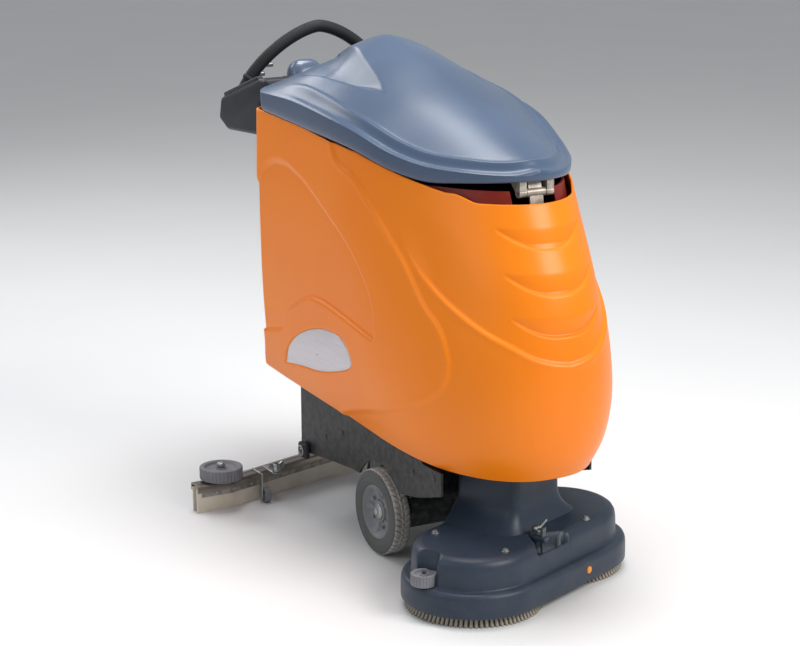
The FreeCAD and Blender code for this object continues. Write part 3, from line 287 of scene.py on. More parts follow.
def brushedGrainGroup():
    # fine lines drawn along one way, for sheet steel and castings
    group, given, made = newGroup("brushedGrain", [("Stretch", "NodeSocketVector", (4.0, 400.0, 400.0)),
                                                   ("Roughness", "NodeSocketFloat", 0.3),
                                                   ("Spread", "NodeSocketFloat", 0.12)],
                                  [("Roughness", "NodeSocketFloat"), ("Height", "NodeSocketFloat")])
    stretched = addNode(group, "ShaderNodeVectorMath", {0: objectPlace(group), 1: given.outputs["Stretch"]},
                        operation="MULTIPLY")
    lines = noiseNode(group, stretched.outputs[0], 1.0, detail=4.0)
    swing = mathNode(group, "MULTIPLY", mathNode(group, "SUBTRACT", lines, 0.5), given.outputs["Spread"])
    group.links.new(mathNode(group, "ADD", given.outputs["Roughness"], swing), made.inputs["Roughness"])
    group.links.new(lines, made.inputs["Height"])
    return group


skinGroup, dustGroup = mouldedSkinGroup(), floorDustGroup()
wearGroup, brushedGroup = edgeWearGroup(), brushedGrainGroup()


def srgb(red, green, blue):
    return tuple(((c / 255 + 0.055) / 1.055) ** 2.4 if c > 10 else c / 255 / 12.92
                 for c in (red, green, blue)) + (1,)


def placeGroup(tree, group, **values):
    node = tree.nodes.new("ShaderNodeGroup")
    node.node_tree = group
    for key, value in values.items():
        label = "".join(" " + c if c.isupper() else c for c in key).title()
        node.inputs[label.strip()].default_value = value
    return node


def startMaterial(name):
    material = bpy.data.materials.new(name)
    material.use_nodes = True
    tree = material.node_tree
    return material, tree, tree.nodes["Principled BSDF"]


def finishHeight(tree, surface, height, depth):
    bump = addNode(tree, "ShaderNodeBump", {"Height": height, "Strength": 1.0, "Distance": depth})
    tree.links.new(bump.outputs["Normal"], surface.inputs["Normal"])


# what a plastic or rubber shares with the others, unless its own row says otherwise
usualPlastic = dict(driftScale=8.0, pebble=500.0, depth=0.0001, rough=0.5, swing=0.1, coat=0.0, dustTop=0.2,
                    dust=0.0, wear=0.3)
plasticLooks = {
    "orangeShell": dict(colour=srgb(244, 131, 8), drift=srgb(241, 123, 5), pale=srgb(250, 176, 96),
                        driftScale=1.6, pebble=700.0, depth=0.00005, rough=0.38, swing=0.05, coat=0.06,
                        dustTop=0.42, dust=0.02, wear=0.25),
    "lidSlate": dict(colour=srgb(76, 93, 118), drift=srgb(68, 84, 108), pale=srgb(132, 146, 166),
                     driftScale=2.2, pebble=800.0, depth=0.00006, rough=0.31, swing=0.06, coat=0.15,
                     dustTop=0.4, wear=0.25),
    "deckSlate": dict(colour=srgb(45, 56, 71), drift=srgb(40, 50, 64), pale=srgb(104, 116, 134),
                      driftScale=4.0, pebble=650.0, depth=0.00008, rough=0.42, swing=0.08, dust=0.05),
    "consoleBlack": dict(colour=srgb(34, 38, 46), drift=srgb(30, 34, 41), pale=srgb(70, 76, 86),
                         driftScale=5.0, pebble=600.0, rough=0.48, swing=0.08, wear=0.2),
    "gripRubber": dict(colour=srgb(30, 31, 34), drift=srgb(25, 26, 29), pale=srgb(84, 86, 90), pebble=420.0,
                       depth=0.0003, rough=0.62, wear=0.15),
    # the inner tank's own orange hue, darkened to deep red: painted shade of the narrow gap under the lid
    "recoveryRedPaintedShade": dict(colour=srgb(128, 30, 16), drift=srgb(104, 22, 12), pale=srgb(176, 84, 62),
                        driftScale=3.0, rough=0.4, swing=0.08, wear=0.15),
    "tyreGrey": dict(colour=srgb(88, 90, 91), drift=srgb(79, 80, 80), pale=srgb(136, 136, 134),
                     driftScale=9.0, depth=0.0003, rough=0.72, dustTop=0.26, dust=0.1, wear=0.2),
    "treadBrown": dict(colour=srgb(184, 180, 176), drift=srgb(162, 158, 153), pale=srgb(150, 142, 128),
                       driftScale=14.0, pebble=420.0, depth=0.0004, rough=0.8, dustTop=0.3, dust=0.2),
    "hubGrey": dict(colour=srgb(126, 129, 132), drift=srgb(114, 117, 120), pale=srgb(188, 190, 190),
                    driftScale=7.0, pebble=600.0, dustTop=0.24, dust=0.06, wear=0.25),
    "rollerDark": dict(colour=srgb(130, 131, 137), drift=srgb(112, 113, 119), pale=srgb(112, 112, 110),
                       driftScale=12.0, pebble=460.0, depth=0.0003, rough=0.7, dustTop=0.14, dust=0.12),
    "casterDark": dict(colour=srgb(46, 47, 50), drift=srgb(38, 39, 42), pale=srgb(100, 100, 98),
                       driftScale=12.0, pebble=460.0, depth=0.0003, rough=0.66, dustTop=0.12, dust=0.12,
                       wear=0.25),
    "discGrey": dict(colour=srgb(74, 78, 84), drift=srgb(62, 66, 72), pale=srgb(120, 122, 124), depth=0.0002,
                     rough=0.6, dustTop=0.1, dust=0.1),
    "batteryBlack": dict(colour=srgb(34, 34, 36), drift=srgb(28, 28, 30), pale=srgb(80, 80, 82),
                         driftScale=6.0, depth=0.0002),
    "buttonGreen": dict(colour=srgb(40, 132, 70), drift=srgb(34, 118, 62), pale=srgb(120, 180, 140),
                        driftScale=20.0, pebble=900.0, rough=0.35, swing=0.05, coat=0.3),
    "buttonOrange": dict(colour=srgb(232, 112, 24), drift=srgb(216, 100, 20), pale=srgb(244, 170, 110),
                         driftScale=20.0, pebble=900.0, rough=0.35, swing=0.05, coat=0.3),
    "markerYellow": dict(colour=srgb(222, 140, 24), drift=srgb(206, 124, 20), pale=srgb(240, 190, 110),
                         driftScale=40.0, pebble=900.0, rough=0.35, swing=0.05, coat=0.2, dustTop=0.1,
                         dust=0.1),
    "bladeTan": dict(colour=srgb(236, 230, 218), drift=srgb(222, 212, 196), pale=srgb(222, 206, 178),
                     driftScale=10.0, pebble=380.0, depth=0.0002, rough=0.58, dustTop=0.05, dust=0.25),
}
dustColour = srgb(168, 160, 146)


def layWearAndDust(tree, surface, look, colour, roughness):
    # pale rubbed edges, then dust over everything, which also dulls the surface
    wear = placeGroup(tree, wearGroup, amount=look["wear"])
    dust = placeGroup(tree, dustGroup, top=look["dustTop"], amount=look["dust"]).outputs["Mask"]
    rubbed = mixNode(tree, wear.outputs["Mask"], colour, look["pale"])
    tree.links.new(mixNode(tree, dust, rubbed, dustColour), surface.inputs["Base Color"])
    dulled = mathNode(tree, "ADD", roughness, mathNode(tree, "MULTIPLY", dust, 0.4))
    tree.links.new(dulled, surface.inputs["Roughness"])


def plasticMaterial(name):
    look = usualPlastic | plasticLooks[name]
    material, tree, surface = startMaterial(name)
    skin = placeGroup(tree, skinGroup, colour=look["colour"], driftColour=look["drift"],
                      driftScale=look["driftScale"], pebbleScale=look["pebble"], roughness=look["rough"],
                      glossDrift=look["swing"])
    layWearAndDust(tree, surface, look, skin.outputs["Colour"], skin.outputs["Roughness"])
    surface.inputs["Specular IOR Level"].default_value = 0.32
    surface.inputs["Coat Weight"].default_value = look["coat"]
    surface.inputs["Coat Roughness"].default_value = 0.22
    finishHeight(tree, surface, skin.outputs["Height"], look["depth"])
    return material


# the same for the metals and the painted steel
usualMetal = dict(rough=0.34, spread=0.2, depth=0.0001, dustTop=0.2, dust=0.0, wear=0.4)
metalLooks = {
    "chassisPaint": dict(colour=srgb(29, 29, 31), metallic=0.0, rough=0.46, spread=0.1,
                         stretch=(90.0, 90.0, 90.0), depth=0.00012, dustTop=0.4, dust=0.05, wear=0.3,
                         pale=srgb(78, 80, 82)),
    "castingGrey": dict(colour=srgb(96, 98, 100), metallic=0.6, rough=0.55, stretch=(120.0, 120.0, 120.0),
                        depth=0.0003, dustTop=0.3, dust=0.1, wear=0.5, pale=srgb(160, 160, 158)),
    "zincBright": dict(colour=srgb(176, 178, 176), metallic=0.9, spread=0.16, stretch=(60.0, 60.0, 300.0),
                       depth=0.00006, dustTop=0.1, dust=0.05, pale=srgb(220, 220, 218)),
    "stainlessBrushed": dict(colour=srgb(150, 142, 134), metallic=0.85, stretch=(5.0, 500.0, 500.0),
                             depth=0.00008, dustTop=0.1, dust=0.08, pale=srgb(206, 202, 196)),
    "badgeSilver": dict(colour=srgb(216, 210, 214), metallic=0.45, rough=0.3, spread=0.1,
                        stretch=(500.0, 8.0, 500.0), depth=0.00004, wear=0.3, pale=srgb(226, 226, 230)),
    "strapGrey": dict(colour=srgb(168, 158, 146), metallic=0.5, rough=0.42, spread=0.15,
                      stretch=(300.0, 300.0, 10.0), wear=0.5, pale=srgb(210, 204, 196)),
}


def metalMaterial(name):
    look = usualMetal | metalLooks[name]
    material, tree, surface = startMaterial(name)
    grain = placeGroup(tree, brushedGroup, stretch=look["stretch"], roughness=look["rough"],
                       spread=look["spread"])
    shade = tuple(c * 0.72 for c in look["colour"][:3]) + (1,)
    base = mixNode(tree, grain.outputs["Height"], look["colour"], shade)
    layWearAndDust(tree, surface, look, base, grain.outputs["Roughness"])
    surface.inputs["Metallic"].default_value = look["metallic"]
    surface.inputs["Specular IOR Level"].default_value = 0.35
    finishHeight(tree, surface, grain.outputs["Height"], look["depth"])
    return material


def bristleMaterial():
    # pale nylon, greyer towards the floor
    material, tree, surface = startMaterial("bristleNylon")
    place = objectPlace(tree)
    streaks = noiseNode(tree, place, 600.0, detail=3.0)
    height = addNode(tree, "ShaderNodeSeparateXYZ", {0: place}).outputs["Z"]
    pale = mixNode(tree, streaks, srgb(214, 208, 196), srgb(168, 160, 148))
    tip = mixNode(tree, rampMask(tree, height, 0.0, 0.03), srgb(150, 140, 126), pale)
    tree.links.new(tip, surface.inputs["Base Color"])
    tree.links.new(rampMask(tree, streaks, -1.2, 1.4), surface.inputs["Roughness"])
    finishHeight(tree, surface, streaks, 0.0003)
    return material


def coverMaterial():
    # smoky clear cover over the display
    material, tree, surface = startMaterial("smokyCover")
    clouds = noiseNode(tree, objectPlace(tree), 26.0, detail=4.0)
    tone = mixNode(tree, clouds, srgb(94, 108, 132), srgb(72, 85, 108))
    tree.links.new(tone, surface.inputs["Base Color"])
    tree.links.new(rampMask(tree, clouds, -2.0, 6.0), surface.inputs["Roughness"])
    surface.inputs["Coat Weight"].default_value = 0.3
    surface.inputs["Coat Roughness"].default_value = 0.15
    finishHeight(tree, surface, clouds, 0.0002)
    return material


finish = {name: plasticMaterial(name) for name in plasticLooks}
finish.update({name: metalMaterial(name) for name in metalLooks})
finish["bristle"] = bristleMaterial()
finish["cover"] = coverMaterial()
print("finishes made:", len(finish))


# ---- tank shell ----

shellForm = {
    "levels": [0.27, 0.34, 0.42, 0.56, 0.70, 0.83, 0.96, 1.05],
    "half": [0.208, 0.240, 0.257, 0.265, 0.265, 0.262, 0.256, 0.252],
    "front": [-0.584, -0.622, -0.646, -0.653, -0.622, -0.562, -0.498, -0.456],
    "widest": [-0.190, -0.190, -0.185, -0.130, -0.060, 0.0, 0.030, 0.030],
    "rear": [0.424, 0.421, 0.396, 0.398, 0.406, 0.414, 0.422, 0.428],
    "power": [2.35, 2.35, 2.30, 2.20, 2.10, 2.00, 2.00, 2.00],
    "corner": 0.028, "noseShare": 0.50, "sideShare": 0.81, "cornerShare": 0.85, "girth": 1.4,
    "skirt": [(0.460, 0.358), (0.300, 0.345), (0.0, 0.326), (-0.190, 0.306), (-0.400, 0.291),
              (-0.700, 0.287)],
    "rim": [(0.460, 1.012), (0.150, 0.998), (-0.109, 0.975), (-0.270, 0.942), (-0.385, 0.920),
            (-0.700, 0.918)],
    "notchHalf": 0.125, "notchDrop": 0.016, "wall": 0.006, "columns": 840, "rows": 190,
    "floorLevel": 0.56, "floorThick": 0.006,
}
shellRelief = {
    # places are (distance round the shell from the nose, height)
    "panel": [(-0.690, 1.06), (-0.658, 0.956), (-0.591, 0.92), (-0.534, 0.855), (-0.478, 0.765),
              (-0.443, 0.677),
              (-0.406, 0.628), (-0.392, 0.564), (-0.406, 0.52), (-0.438, 0.484), (-0.516, 0.444),
              (-0.618, 0.406),
              (-0.812, 0.333), (-0.90, 0.25)],
    "panelRise": 0.0045, "panelSoft": 0.008,
    "hollow": [(-1.16, 0.835), (-1.081, 0.890), (-1.001, 0.908), (-0.927, 0.903), (-0.824, 0.874),
               (-0.721, 0.824),
               (-0.670, 0.787), (-0.633, 0.734), (-0.609, 0.65), (-0.628, 0.566)],
    "badgeArc": [(-0.644, 0.553), (-0.737, 0.575), (-0.858, 0.590), (-0.924, 0.574), (-1.006, 0.529),
                 (-1.048, 0.473), (-1.12, 0.45)],
    "hollowDepth": 0.0075, "hollowSoft": 0.010,
    "bib": [(0.0, 0.562), (0.07, 0.570), (0.13, 0.582), (0.20, 0.606), (0.28, 0.634), (0.34, 0.664),
            (0.394, 0.700),
            (0.446, 0.757), (0.48, 0.83)],
    "bibDepth": 0.0065, "bibFade": 0.20,
    "scallops": [(0.856, 0.817), (0.762, 0.722), (0.672, 0.633)], "scallopHalf": 0.19, "scallopDepth": 0.010,
    "badge": [(-1.053, 0.385), (-1.032, 0.438), (-0.969, 0.489), (-0.868, 0.527), (-0.777, 0.531),
              (-0.745, 0.501),
              (-0.752, 0.463), (-0.835, 0.429), (-0.903, 0.41), (-0.976, 0.4)],
    "badgeDepth": 0.004,
}


def shellPoint(share, z):
    # a place on the plain shell: share runs -1..1 round it, 0 at the nose
    form = shellForm
    at = {k: smoothTable(form["levels"], form[k], z) for k in ("half", "front", "widest", "rear", "power")}
    around = np.abs(share)
    turn = np.clip(around / form["noseShare"], 0, 1) * np.pi / 2
    x = at["half"] * np.abs(np.sin(turn)) ** (2 / at["power"])
    y = at["widest"] - (at["widest"] - at["front"]) * np.abs(np.cos(turn)) ** (2 / at["power"])
    along = np.clip((around - form["noseShare"]) / (form["sideShare"] - form["noseShare"]), 0, 1)
    y = y + along * (at["rear"] - form["corner"] - at["widest"])
    bend = np.clip((around - form["sideShare"]) / (form["cornerShare"] - form["sideShare"]), 0, 1) * np.pi / 2
    x = x - form["corner"] * (1 - np.cos(bend))
    y = y + form["corner"] * np.sin(bend)
    back = np.clip((around - form["cornerShare"]) / (1 - form["cornerShare"]), 0, 1)
    x = np.where(around > form["cornerShare"], x * (1 - back), x)
    return np.stack([x * np.sign(share), y, z], -1)


def shellNormals(share, z):
    step = 1e-4
    across = shellPoint(share + step, z) - shellPoint(share - step, z)
    up = shellPoint(share, z + step) - shellPoint(share, z - step)
    normal = np.cross(across, up)
    return normal / np.maximum(np.linalg.norm(normal, axis=-1, keepdims=True), 1e-9)


def reliefAt(girth, z):
    # how far the moulded surface stands out from the plain one
    relief = shellRelief
    g = -np.abs(girth)
    ridge = softCurve(relief["panel"])
    outline = ridge + [(-1.6, 0.25), (-1.6, 1.06)]
    away = curveDistance(g, z, ridge)
    signed = np.where(insideCurve(g, z, outline), away, -away)
    rise = relief["panelRise"] * smoothStep(-relief["panelSoft"], relief["panelSoft"] * 0.5, signed)
    rise = rise + 0.0012 * np.exp(-((signed - 0.006) / 0.007) ** 2)

    top, arc = softCurve(relief["hollow"]), softCurve(relief["badgeArc"])
    hollowOutline = top + arc + [(-1.6, 0.45), (-1.6, 0.835)]
    edge = np.minimum(curveDistance(g, z, top), curveDistance(g, z, arc))
    inside = insideCurve(g, z, hollowOutline)
    soft = relief["hollowSoft"] * (1 + 0.8 * smoothStep(0.70, 0.90, z))
    hollow = relief["hollowDepth"] * smoothStep(0, soft, np.where(inside, edge, 0))
    rise = rise - hollow * (1 - 0.75 * smoothStep(-1.12, -1.22, g))

    bib = smoothTable([p[0] for p in relief["bib"]], [p[1] for p in relief["bib"]], np.minimum(-g, 0.48))
    above = z - bib
    cup = smoothStep(0, 0.011, above) * (1 - smoothStep(0.03, relief["bibFade"], above))
    cup = cup * (1 - smoothStep(0.40, 0.47, -g)) * (1 - smoothStep(0, 0.001, signed))
    rise = rise - relief["bibDepth"] * cup + 0.0012 * np.exp(-((above + 0.004) / 0.006) ** 2) * (-g < 0.44)

    across = np.clip(-g / relief["scallopHalf"], 0, 1)
    for high, low in relief["scallops"]:
        lip = high - (high - low) * (1 - across ** 2.6)
        deep = np.clip((high - z) / np.maximum(high - lip, 1e-4), 0, 1)
        below = smoothStep(-0.007, 0.001, z - lip)
        rise = rise - relief["scallopDepth"] * deep ** 1.15 * below * np.sqrt(1 - across ** 2) * (z < high)

    badge = softCurve(relief["badge"] + relief["badge"][:1])
    near = curveDistance(g, z, badge)
    rise = rise - relief["badgeDepth"] * np.where(insideCurve(g, z, badge), smoothStep(0, 0.004, near), 0)
    return rise


def shellHeights(share):
    # the skirt and the rim for each column
    low = np.full(share.shape, 0.33)
    high = np.full(share.shape, 0.96)
    for _ in range(8):
        low = readTable(shellForm["skirt"], shellPoint(share, low)[..., 1])
        place = shellPoint(share, high)
        high = readTable(shellForm["rim"], place[..., 1])
        notch = 1 - smoothStep(shellForm["notchHalf"], shellForm["notchHalf"] + 0.035, np.abs(place[..., 0]))
        high = high - shellForm["notchDrop"] * notch * (place[..., 1] < -0.3)
    return low, high


def buildShell():
    # one skin: outside, lip, inside and bottom edge, then the floor plate and two lugs
    form = shellForm
    columns, rows = form["columns"], form["rows"]
    share = np.linspace(-1, 1, columns, endpoint=False)
    low, high = shellHeights(share)
    climb = np.linspace(0, 1, rows)[:, None]
    z = low + (high - low) * climb
    shares = np.broadcast_to(share, z.shape)
    normal = shellNormals(shares, z)
    outer = shellPoint(shares, z) + normal * reliefAt(shares * form["girth"], z)[..., None]
    level = normal * [1, 1, 0]
    level = level / np.linalg.norm(level, axis=-1, keepdims=True)
    wall = form["wall"]
    lip = [(0.0012, 0.0016), (0.003, 0.0024), (0.0048, 0.0016)]
    inner = outer[::-10] - level[::-10] * wall
    ring = [outer]
    ring += [(outer[-1] - level[-1] * inset + [0, 0, lift])[None] for inset, lift in lip]
    ring += [inner]
    ring += [(outer[0] - level[0] * inset - [0, 0, lift])[None] for inset, lift in lip[::-1]]
    grid = np.concatenate(ring)
    faces = gridFaces(len(grid), columns, wrap=True)
    last = (len(grid) - 1) * columns
    faces += [(last + c, last + (c + 1) % columns, (c + 1) % columns, c) for c in range(columns)]
    verts = grid.reshape(-1, 3)
    parts = [(verts, faces)]

    marks = np.linspace(-1, 1, 160, endpoint=False)
    for lift, flip in ((0, True), (form["floorThick"], False)):
        level = np.full(marks.shape, form["floorLevel"] + lift)
        plate = shellPoint(marks, level) - shellNormals(marks, level) * wall * 1.6
        order = tuple(range(len(marks)))
        parts.append((plate, [order[::-1] if flip else order]))
    for side in (-1, 1):
        parts.append(roundBox((0.010, 0.090, 0.070), (side * 0.114, 0.362, 0.372), 0.003))
    addMesh("tankShell", parts, finish["orangeShell"], "tank", ["tank_shell"])


buildShell()


def surfacePatch(outline, lift, dome, name, material, body, stands):
    # a domed plate that lies on the shell inside an outline, one on each side
    parts = []
    curve = np.array(softCurve(outline + outline[:1], 5)[:-1])
    centre = curve.mean(0)
    for side in (-1, 1):
        rings = []
        for reach in (1.0, 0.995, 0.97, 0.93, 0.86, 0.72, 0.5, 0.25, 0.02):
            place = centre + (curve - centre) * reach
            rise = lift * (reach < 0.999) + dome * (1 - reach ** 2) - 0.002 * (reach > 0.999)
            share, z = side * place[:, 0] / shellForm["girth"], place[:, 1]
            rings.append(shellPoint(share, z) + shellNormals(share, z) * rise)
        grid = np.array(rings)
        faces = gridFaces(len(grid), len(curve), wrap=True, flip=side < 0)
        parts.append((grid.reshape(-1, 3), faces))
    return addMesh(name, parts, material, body, stands)


badgeShape = [((g + 0.90) * 0.965 - 0.90, (z - 0.455) * 0.955 + 0.455) for g, z in shellRelief["badge"]]
surfacePatch(badgeShape, 0.0026, 0.0045, "badgePlates", finish["badgeSilver"], "tank",
             ["badge_plates"])
print("tank shell and badges built")


# ---- lid ----

lidForm = {
    "half": 0.266, "widest": 0.03, "nose": -0.515, "rear": 0.395, "nosePower": 1.9, "domePower": 1.5,
    "rim": [(0.395, 1.014), (0.150, 1.001), (-0.109, 0.981), (-0.250, 0.950), (-0.330, 0.939),
            (-0.420, 0.945),
            (-0.515, 0.953)],
    "skirt": [(0.395, 0.045), (0.2, 0.055), (0.0, 0.050), (-0.250, 0.038), (-0.330, 0.035), (-0.420, 0.024),
              (-0.515, 0.012)],
    "crest": [(0.395, 1.110), (0.3, 1.170), (0.2, 1.2022), (0.1, 1.187), (-0.116, 1.120), (-0.341, 1.040),
              (-0.45, 1.0), (-0.515, 0.975)],
    "rearCorner": 0.04, "spine": 0.30, "wall": 0.005, "edgeTuck": 0.016,
    "upperBead": (0.037, 0.0065, 0.007), "channel": (0.020, 0.0045, 0.009),
    "lowerBead": (0.004, 0.003, 0.006),
    "pocketFront": [(0.066, 0.262), (0.076, 0.233), (0.104, 0.113), (0.123, 0.012), (0.144, -0.072)],
    "pocketFoot": [(0.144, -0.072), (0.168, 0.018), (0.185, 0.114), (0.198, 0.238), (0.206, 0.40)],
    "pocketDepth": 0.032, "pocketWall": 0.06,
}


def smoothCrest(table, y):
    # soft reading between (y, height) rows
    rows = sorted(table)
    return smoothTable([r[0] for r in rows], [r[1] for r in rows], y)


def lidHalfWidth(y):
    share = np.clip((lidForm["widest"] - y) / (lidForm["widest"] - lidForm["nose"]), 0, 1)
    return lidForm["half"] * (1 - share ** lidForm["nosePower"]) ** (1 / lidForm["nosePower"])


def lidOutline(count):
    # half outline on the right-hand side, from the middle of the rear edge to the nose
    form, bend = lidForm, lidForm["rearCorner"]
    turn = np.linspace(0, np.pi / 2, 90)
    power = 2 / form["nosePower"]
    nose = np.stack([form["half"] * np.cos(turn) ** power,
                     form["widest"] - (form["widest"] - form["nose"]) * np.sin(turn) ** power], -1)
    angle = np.linspace(np.pi / 2, 0, 12)
    corner = np.stack([form["half"] - bend + bend * np.cos(angle),
                       form["rear"] - bend + bend * np.sin(angle)], -1)
    line = np.concatenate([[(0, form["rear"])], corner, nose])
    reach = np.concatenate([[0], np.cumsum(np.linalg.norm(np.diff(line, axis=0), axis=1))])
    even = np.linspace(0, reach[-1], count)
    return np.stack([np.interp(even, reach, line[:, 0]), np.interp(even, reach, line[:, 1])], -1)


def lidSurface(x, y, away):
    # height of the lid's top; away is the distance in from its outline
    form = lidForm
    width = np.maximum(lidHalfWidth(y), 1e-4)
    across = np.clip(np.abs(x) / width, 0, 1)
    shoulder = smoothCrest(form["rim"], y) + smoothCrest(form["skirt"], y)
    crest = smoothCrest(form["crest"], y)
    full = 1 - across ** form["domePower"]
    bell = (1 - across ** 2) ** 1.55
    mix = 0.75 * smoothStep(0.10, -0.28, y)
    z = shoulder + (crest - shoulder) * (full * (1 - mix) + bell * mix)

    side = np.abs(x)
    front, foot = softCurve(form["pocketFront"]), softCurve(form["pocketFoot"])
    inside = insideCurve(side, y, front + foot + [(0.066, 0.42)])
    toFoot, toFront = curveDistance(side, y, foot), curveDistance(side, y, front)
    climb = np.clip(toFront / form["pocketWall"], 0, 1)
    deep = form["pocketDepth"] * climb * (2 - climb) * smoothStep(0, 0.035, toFoot)
    z = z - np.where(inside, deep, 0) * (1 - smoothStep(0.22, 0.37, y))

    fade = 1 - smoothStep(0.10, 0.30, y)
    place, rise, soft = form["upperBead"]
    z = z + rise * np.exp(-((away - place) / soft) ** 2) * fade
    place, drop, soft = form["channel"]
    z = z - drop * np.exp(-((away - place) / soft) ** 2) * fade
    place, rise, soft = form["lowerBead"]
    return z + rise * np.exp(-((away - place) / soft) ** 2) * fade


def buildLid():
    # domed top, rim and underside as one closed skin
    form = lidForm
    half = lidOutline(330)
    loop = np.concatenate([half * [-1, 1], half[-2:0:-1]])
    spine = np.stack([np.zeros(len(loop)), np.clip(loop[:, 1], -form["spine"], form["spine"])], -1)
    reach = np.concatenate([np.linspace(0.0, 0.72, 60), np.linspace(0.725, 1, 66)])[:, None, None]
    plan = spine + (loop - spine) * reach
    away = (1 - reach[..., 0]) * np.linalg.norm(loop - spine, axis=-1)
    top = lidSurface(plan[..., 0], plan[..., 1], away)
    dome = np.concatenate([plan, top[..., None]], -1)

    rim = smoothCrest(form["rim"], loop[:, 1])
    edge = dome[-1]
    ahead = np.roll(loop, -1, 0) - np.roll(loop, 1, 0)
    outward = np.stack([ahead[:, 1], -ahead[:, 0], np.zeros(len(loop))], -1)
    outward /= np.linalg.norm(outward, axis=-1, keepdims=True)
    outward *= np.sign((outward[:, :2] * (loop - spine)).sum(-1) + 1e-12)[:, None]
    rows = []
    for drop, inset in ((0.06, 0.0), (0.14, 0.0), (0.3, 0.0003), (0.5, 0.0006), (0.68, 0.0012),
                        (0.82, 0.0022), (0.92, 0.0036), (0.98, 0.0055), (1.0, 0.0075)):
        level = edge[:, 2] + (rim - edge[:, 2]) * drop
        rows.append(np.concatenate([loop, level[:, None]], -1) - outward * inset)
    rows.append(rows[-1] - outward * 0.004 + [0, 0, 0.002])
    under = dome[::-1] - [0, 0, form["wall"]]
    inset = np.minimum(1, np.linspace(0, 6, len(under)))[:, None, None]
    under[..., :2] -= outward[None, :, :2] * form["edgeTuck"] * (1 - inset)
    grid = np.concatenate([dome, np.array(rows), under])
    verts = grid.reshape(-1, 3)
    faces = gridFaces(len(grid), len(loop), wrap=True, flip=True)
    addMesh("lidShell", [(verts, faces)], finish["lidSlate"], "lid", ["lid_shell"])


buildLid()
print("lid built")


# ---- brush deck ----

deckForm = {
    "spanHalf": 0.1635, "wheelSide": 0.164, "wheelFront": -0.242, "straight": 90, "bend": 46,
    "profile": [(0.1585, 0.066), (0.1585, 0.026), (0.1600, 0.0225), (0.1630, 0.0220), (0.1650, 0.0245),
                (0.1650, 0.040),
                (0.1648, 0.060), (0.1638, 0.0690), (0.1610, 0.0750), (0.1560, 0.0778), (0.1500, 0.0786),
                (0.1450, 0.0792), (0.1425, 0.0806), (0.1413, 0.0840), (0.1408, 0.100), (0.1400, 0.122),
                (0.1380, 0.134), (0.1330, 0.1425), (0.1260, 0.1475), (0.1180, 0.1495)],
    "topLevel": 0.150, "topRows": 44, "nicheRoom": 0.036,
    "opening": [(-0.060, -0.074), (0.024, -0.139), (-0.112, -0.139)], "openingDepth": 0.046,
    "openingWall": 0.004, "nicheFrom": 0.0789, "topFrom": 0.13, "lip": 0.0015,
}
farBrush, nearBrush = middle("brush_disc_left"), middle("brush_disc_right")
deckMiddle = (farBrush + nearBrush) / 2
deckTurn = math.atan2(farBrush.y - nearBrush.y, farBrush.x - nearBrush.x)
bumperAt = middle("bumper_roller")


def deckPlace(u, v, z):
    # u runs along the brush line to the far side, v runs rearward
    x = deckMiddle.x + u * math.cos(deckTurn) - v * math.sin(deckTurn)
    y = deckMiddle.y + u * math.sin(deckTurn) + v * math.cos(deckTurn)
    return np.stack(np.broadcast_arrays(x, y, z), -1)


def deckAxes(points):
    # the (u, v) of places in the world
    x, y = points[..., 0] - deckMiddle.x, points[..., 1] - deckMiddle.y
    return (x * math.cos(deckTurn) + y * math.sin(deckTurn), -x * math.sin(deckTurn) + y * math.cos(deckTurn))


def stadium(radius):
    # the two brush circles joined by straight sides, counter-clockwise from the front
    half, bend = deckForm["spanHalf"], deckForm["bend"]
    run = np.linspace(-half, half, deckForm["straight"], endpoint=False)
    turn = np.linspace(-np.pi / 2, np.pi / 2, bend, endpoint=False)
    front = np.stack([run, -radius + 0 * run], -1)
    right = np.stack([half + radius * np.cos(turn), radius * np.sin(turn)], -1)
    rear = np.stack([-run, radius + 0 * run], -1)
    left = np.stack([-half - radius * np.cos(turn), -radius * np.sin(turn)], -1)
    return np.concatenate([front, right, rear, left])


def flattenAtWheel(points, wall):
    # the rear of the deck is cut flat beside the drive wheel
    side, front = deckForm["wheelSide"] - wall, deckForm["wheelFront"] - wall
    over = (points[..., 0] > side) & (points[..., 1] > front)
    nearer = (points[..., 1] - front) < (points[..., 0] - side)
    points[..., 1] = np.where(over & nearer, front, points[..., 1])
    points[..., 0] = np.where(over & ~nearer, side, points[..., 0])
    return points


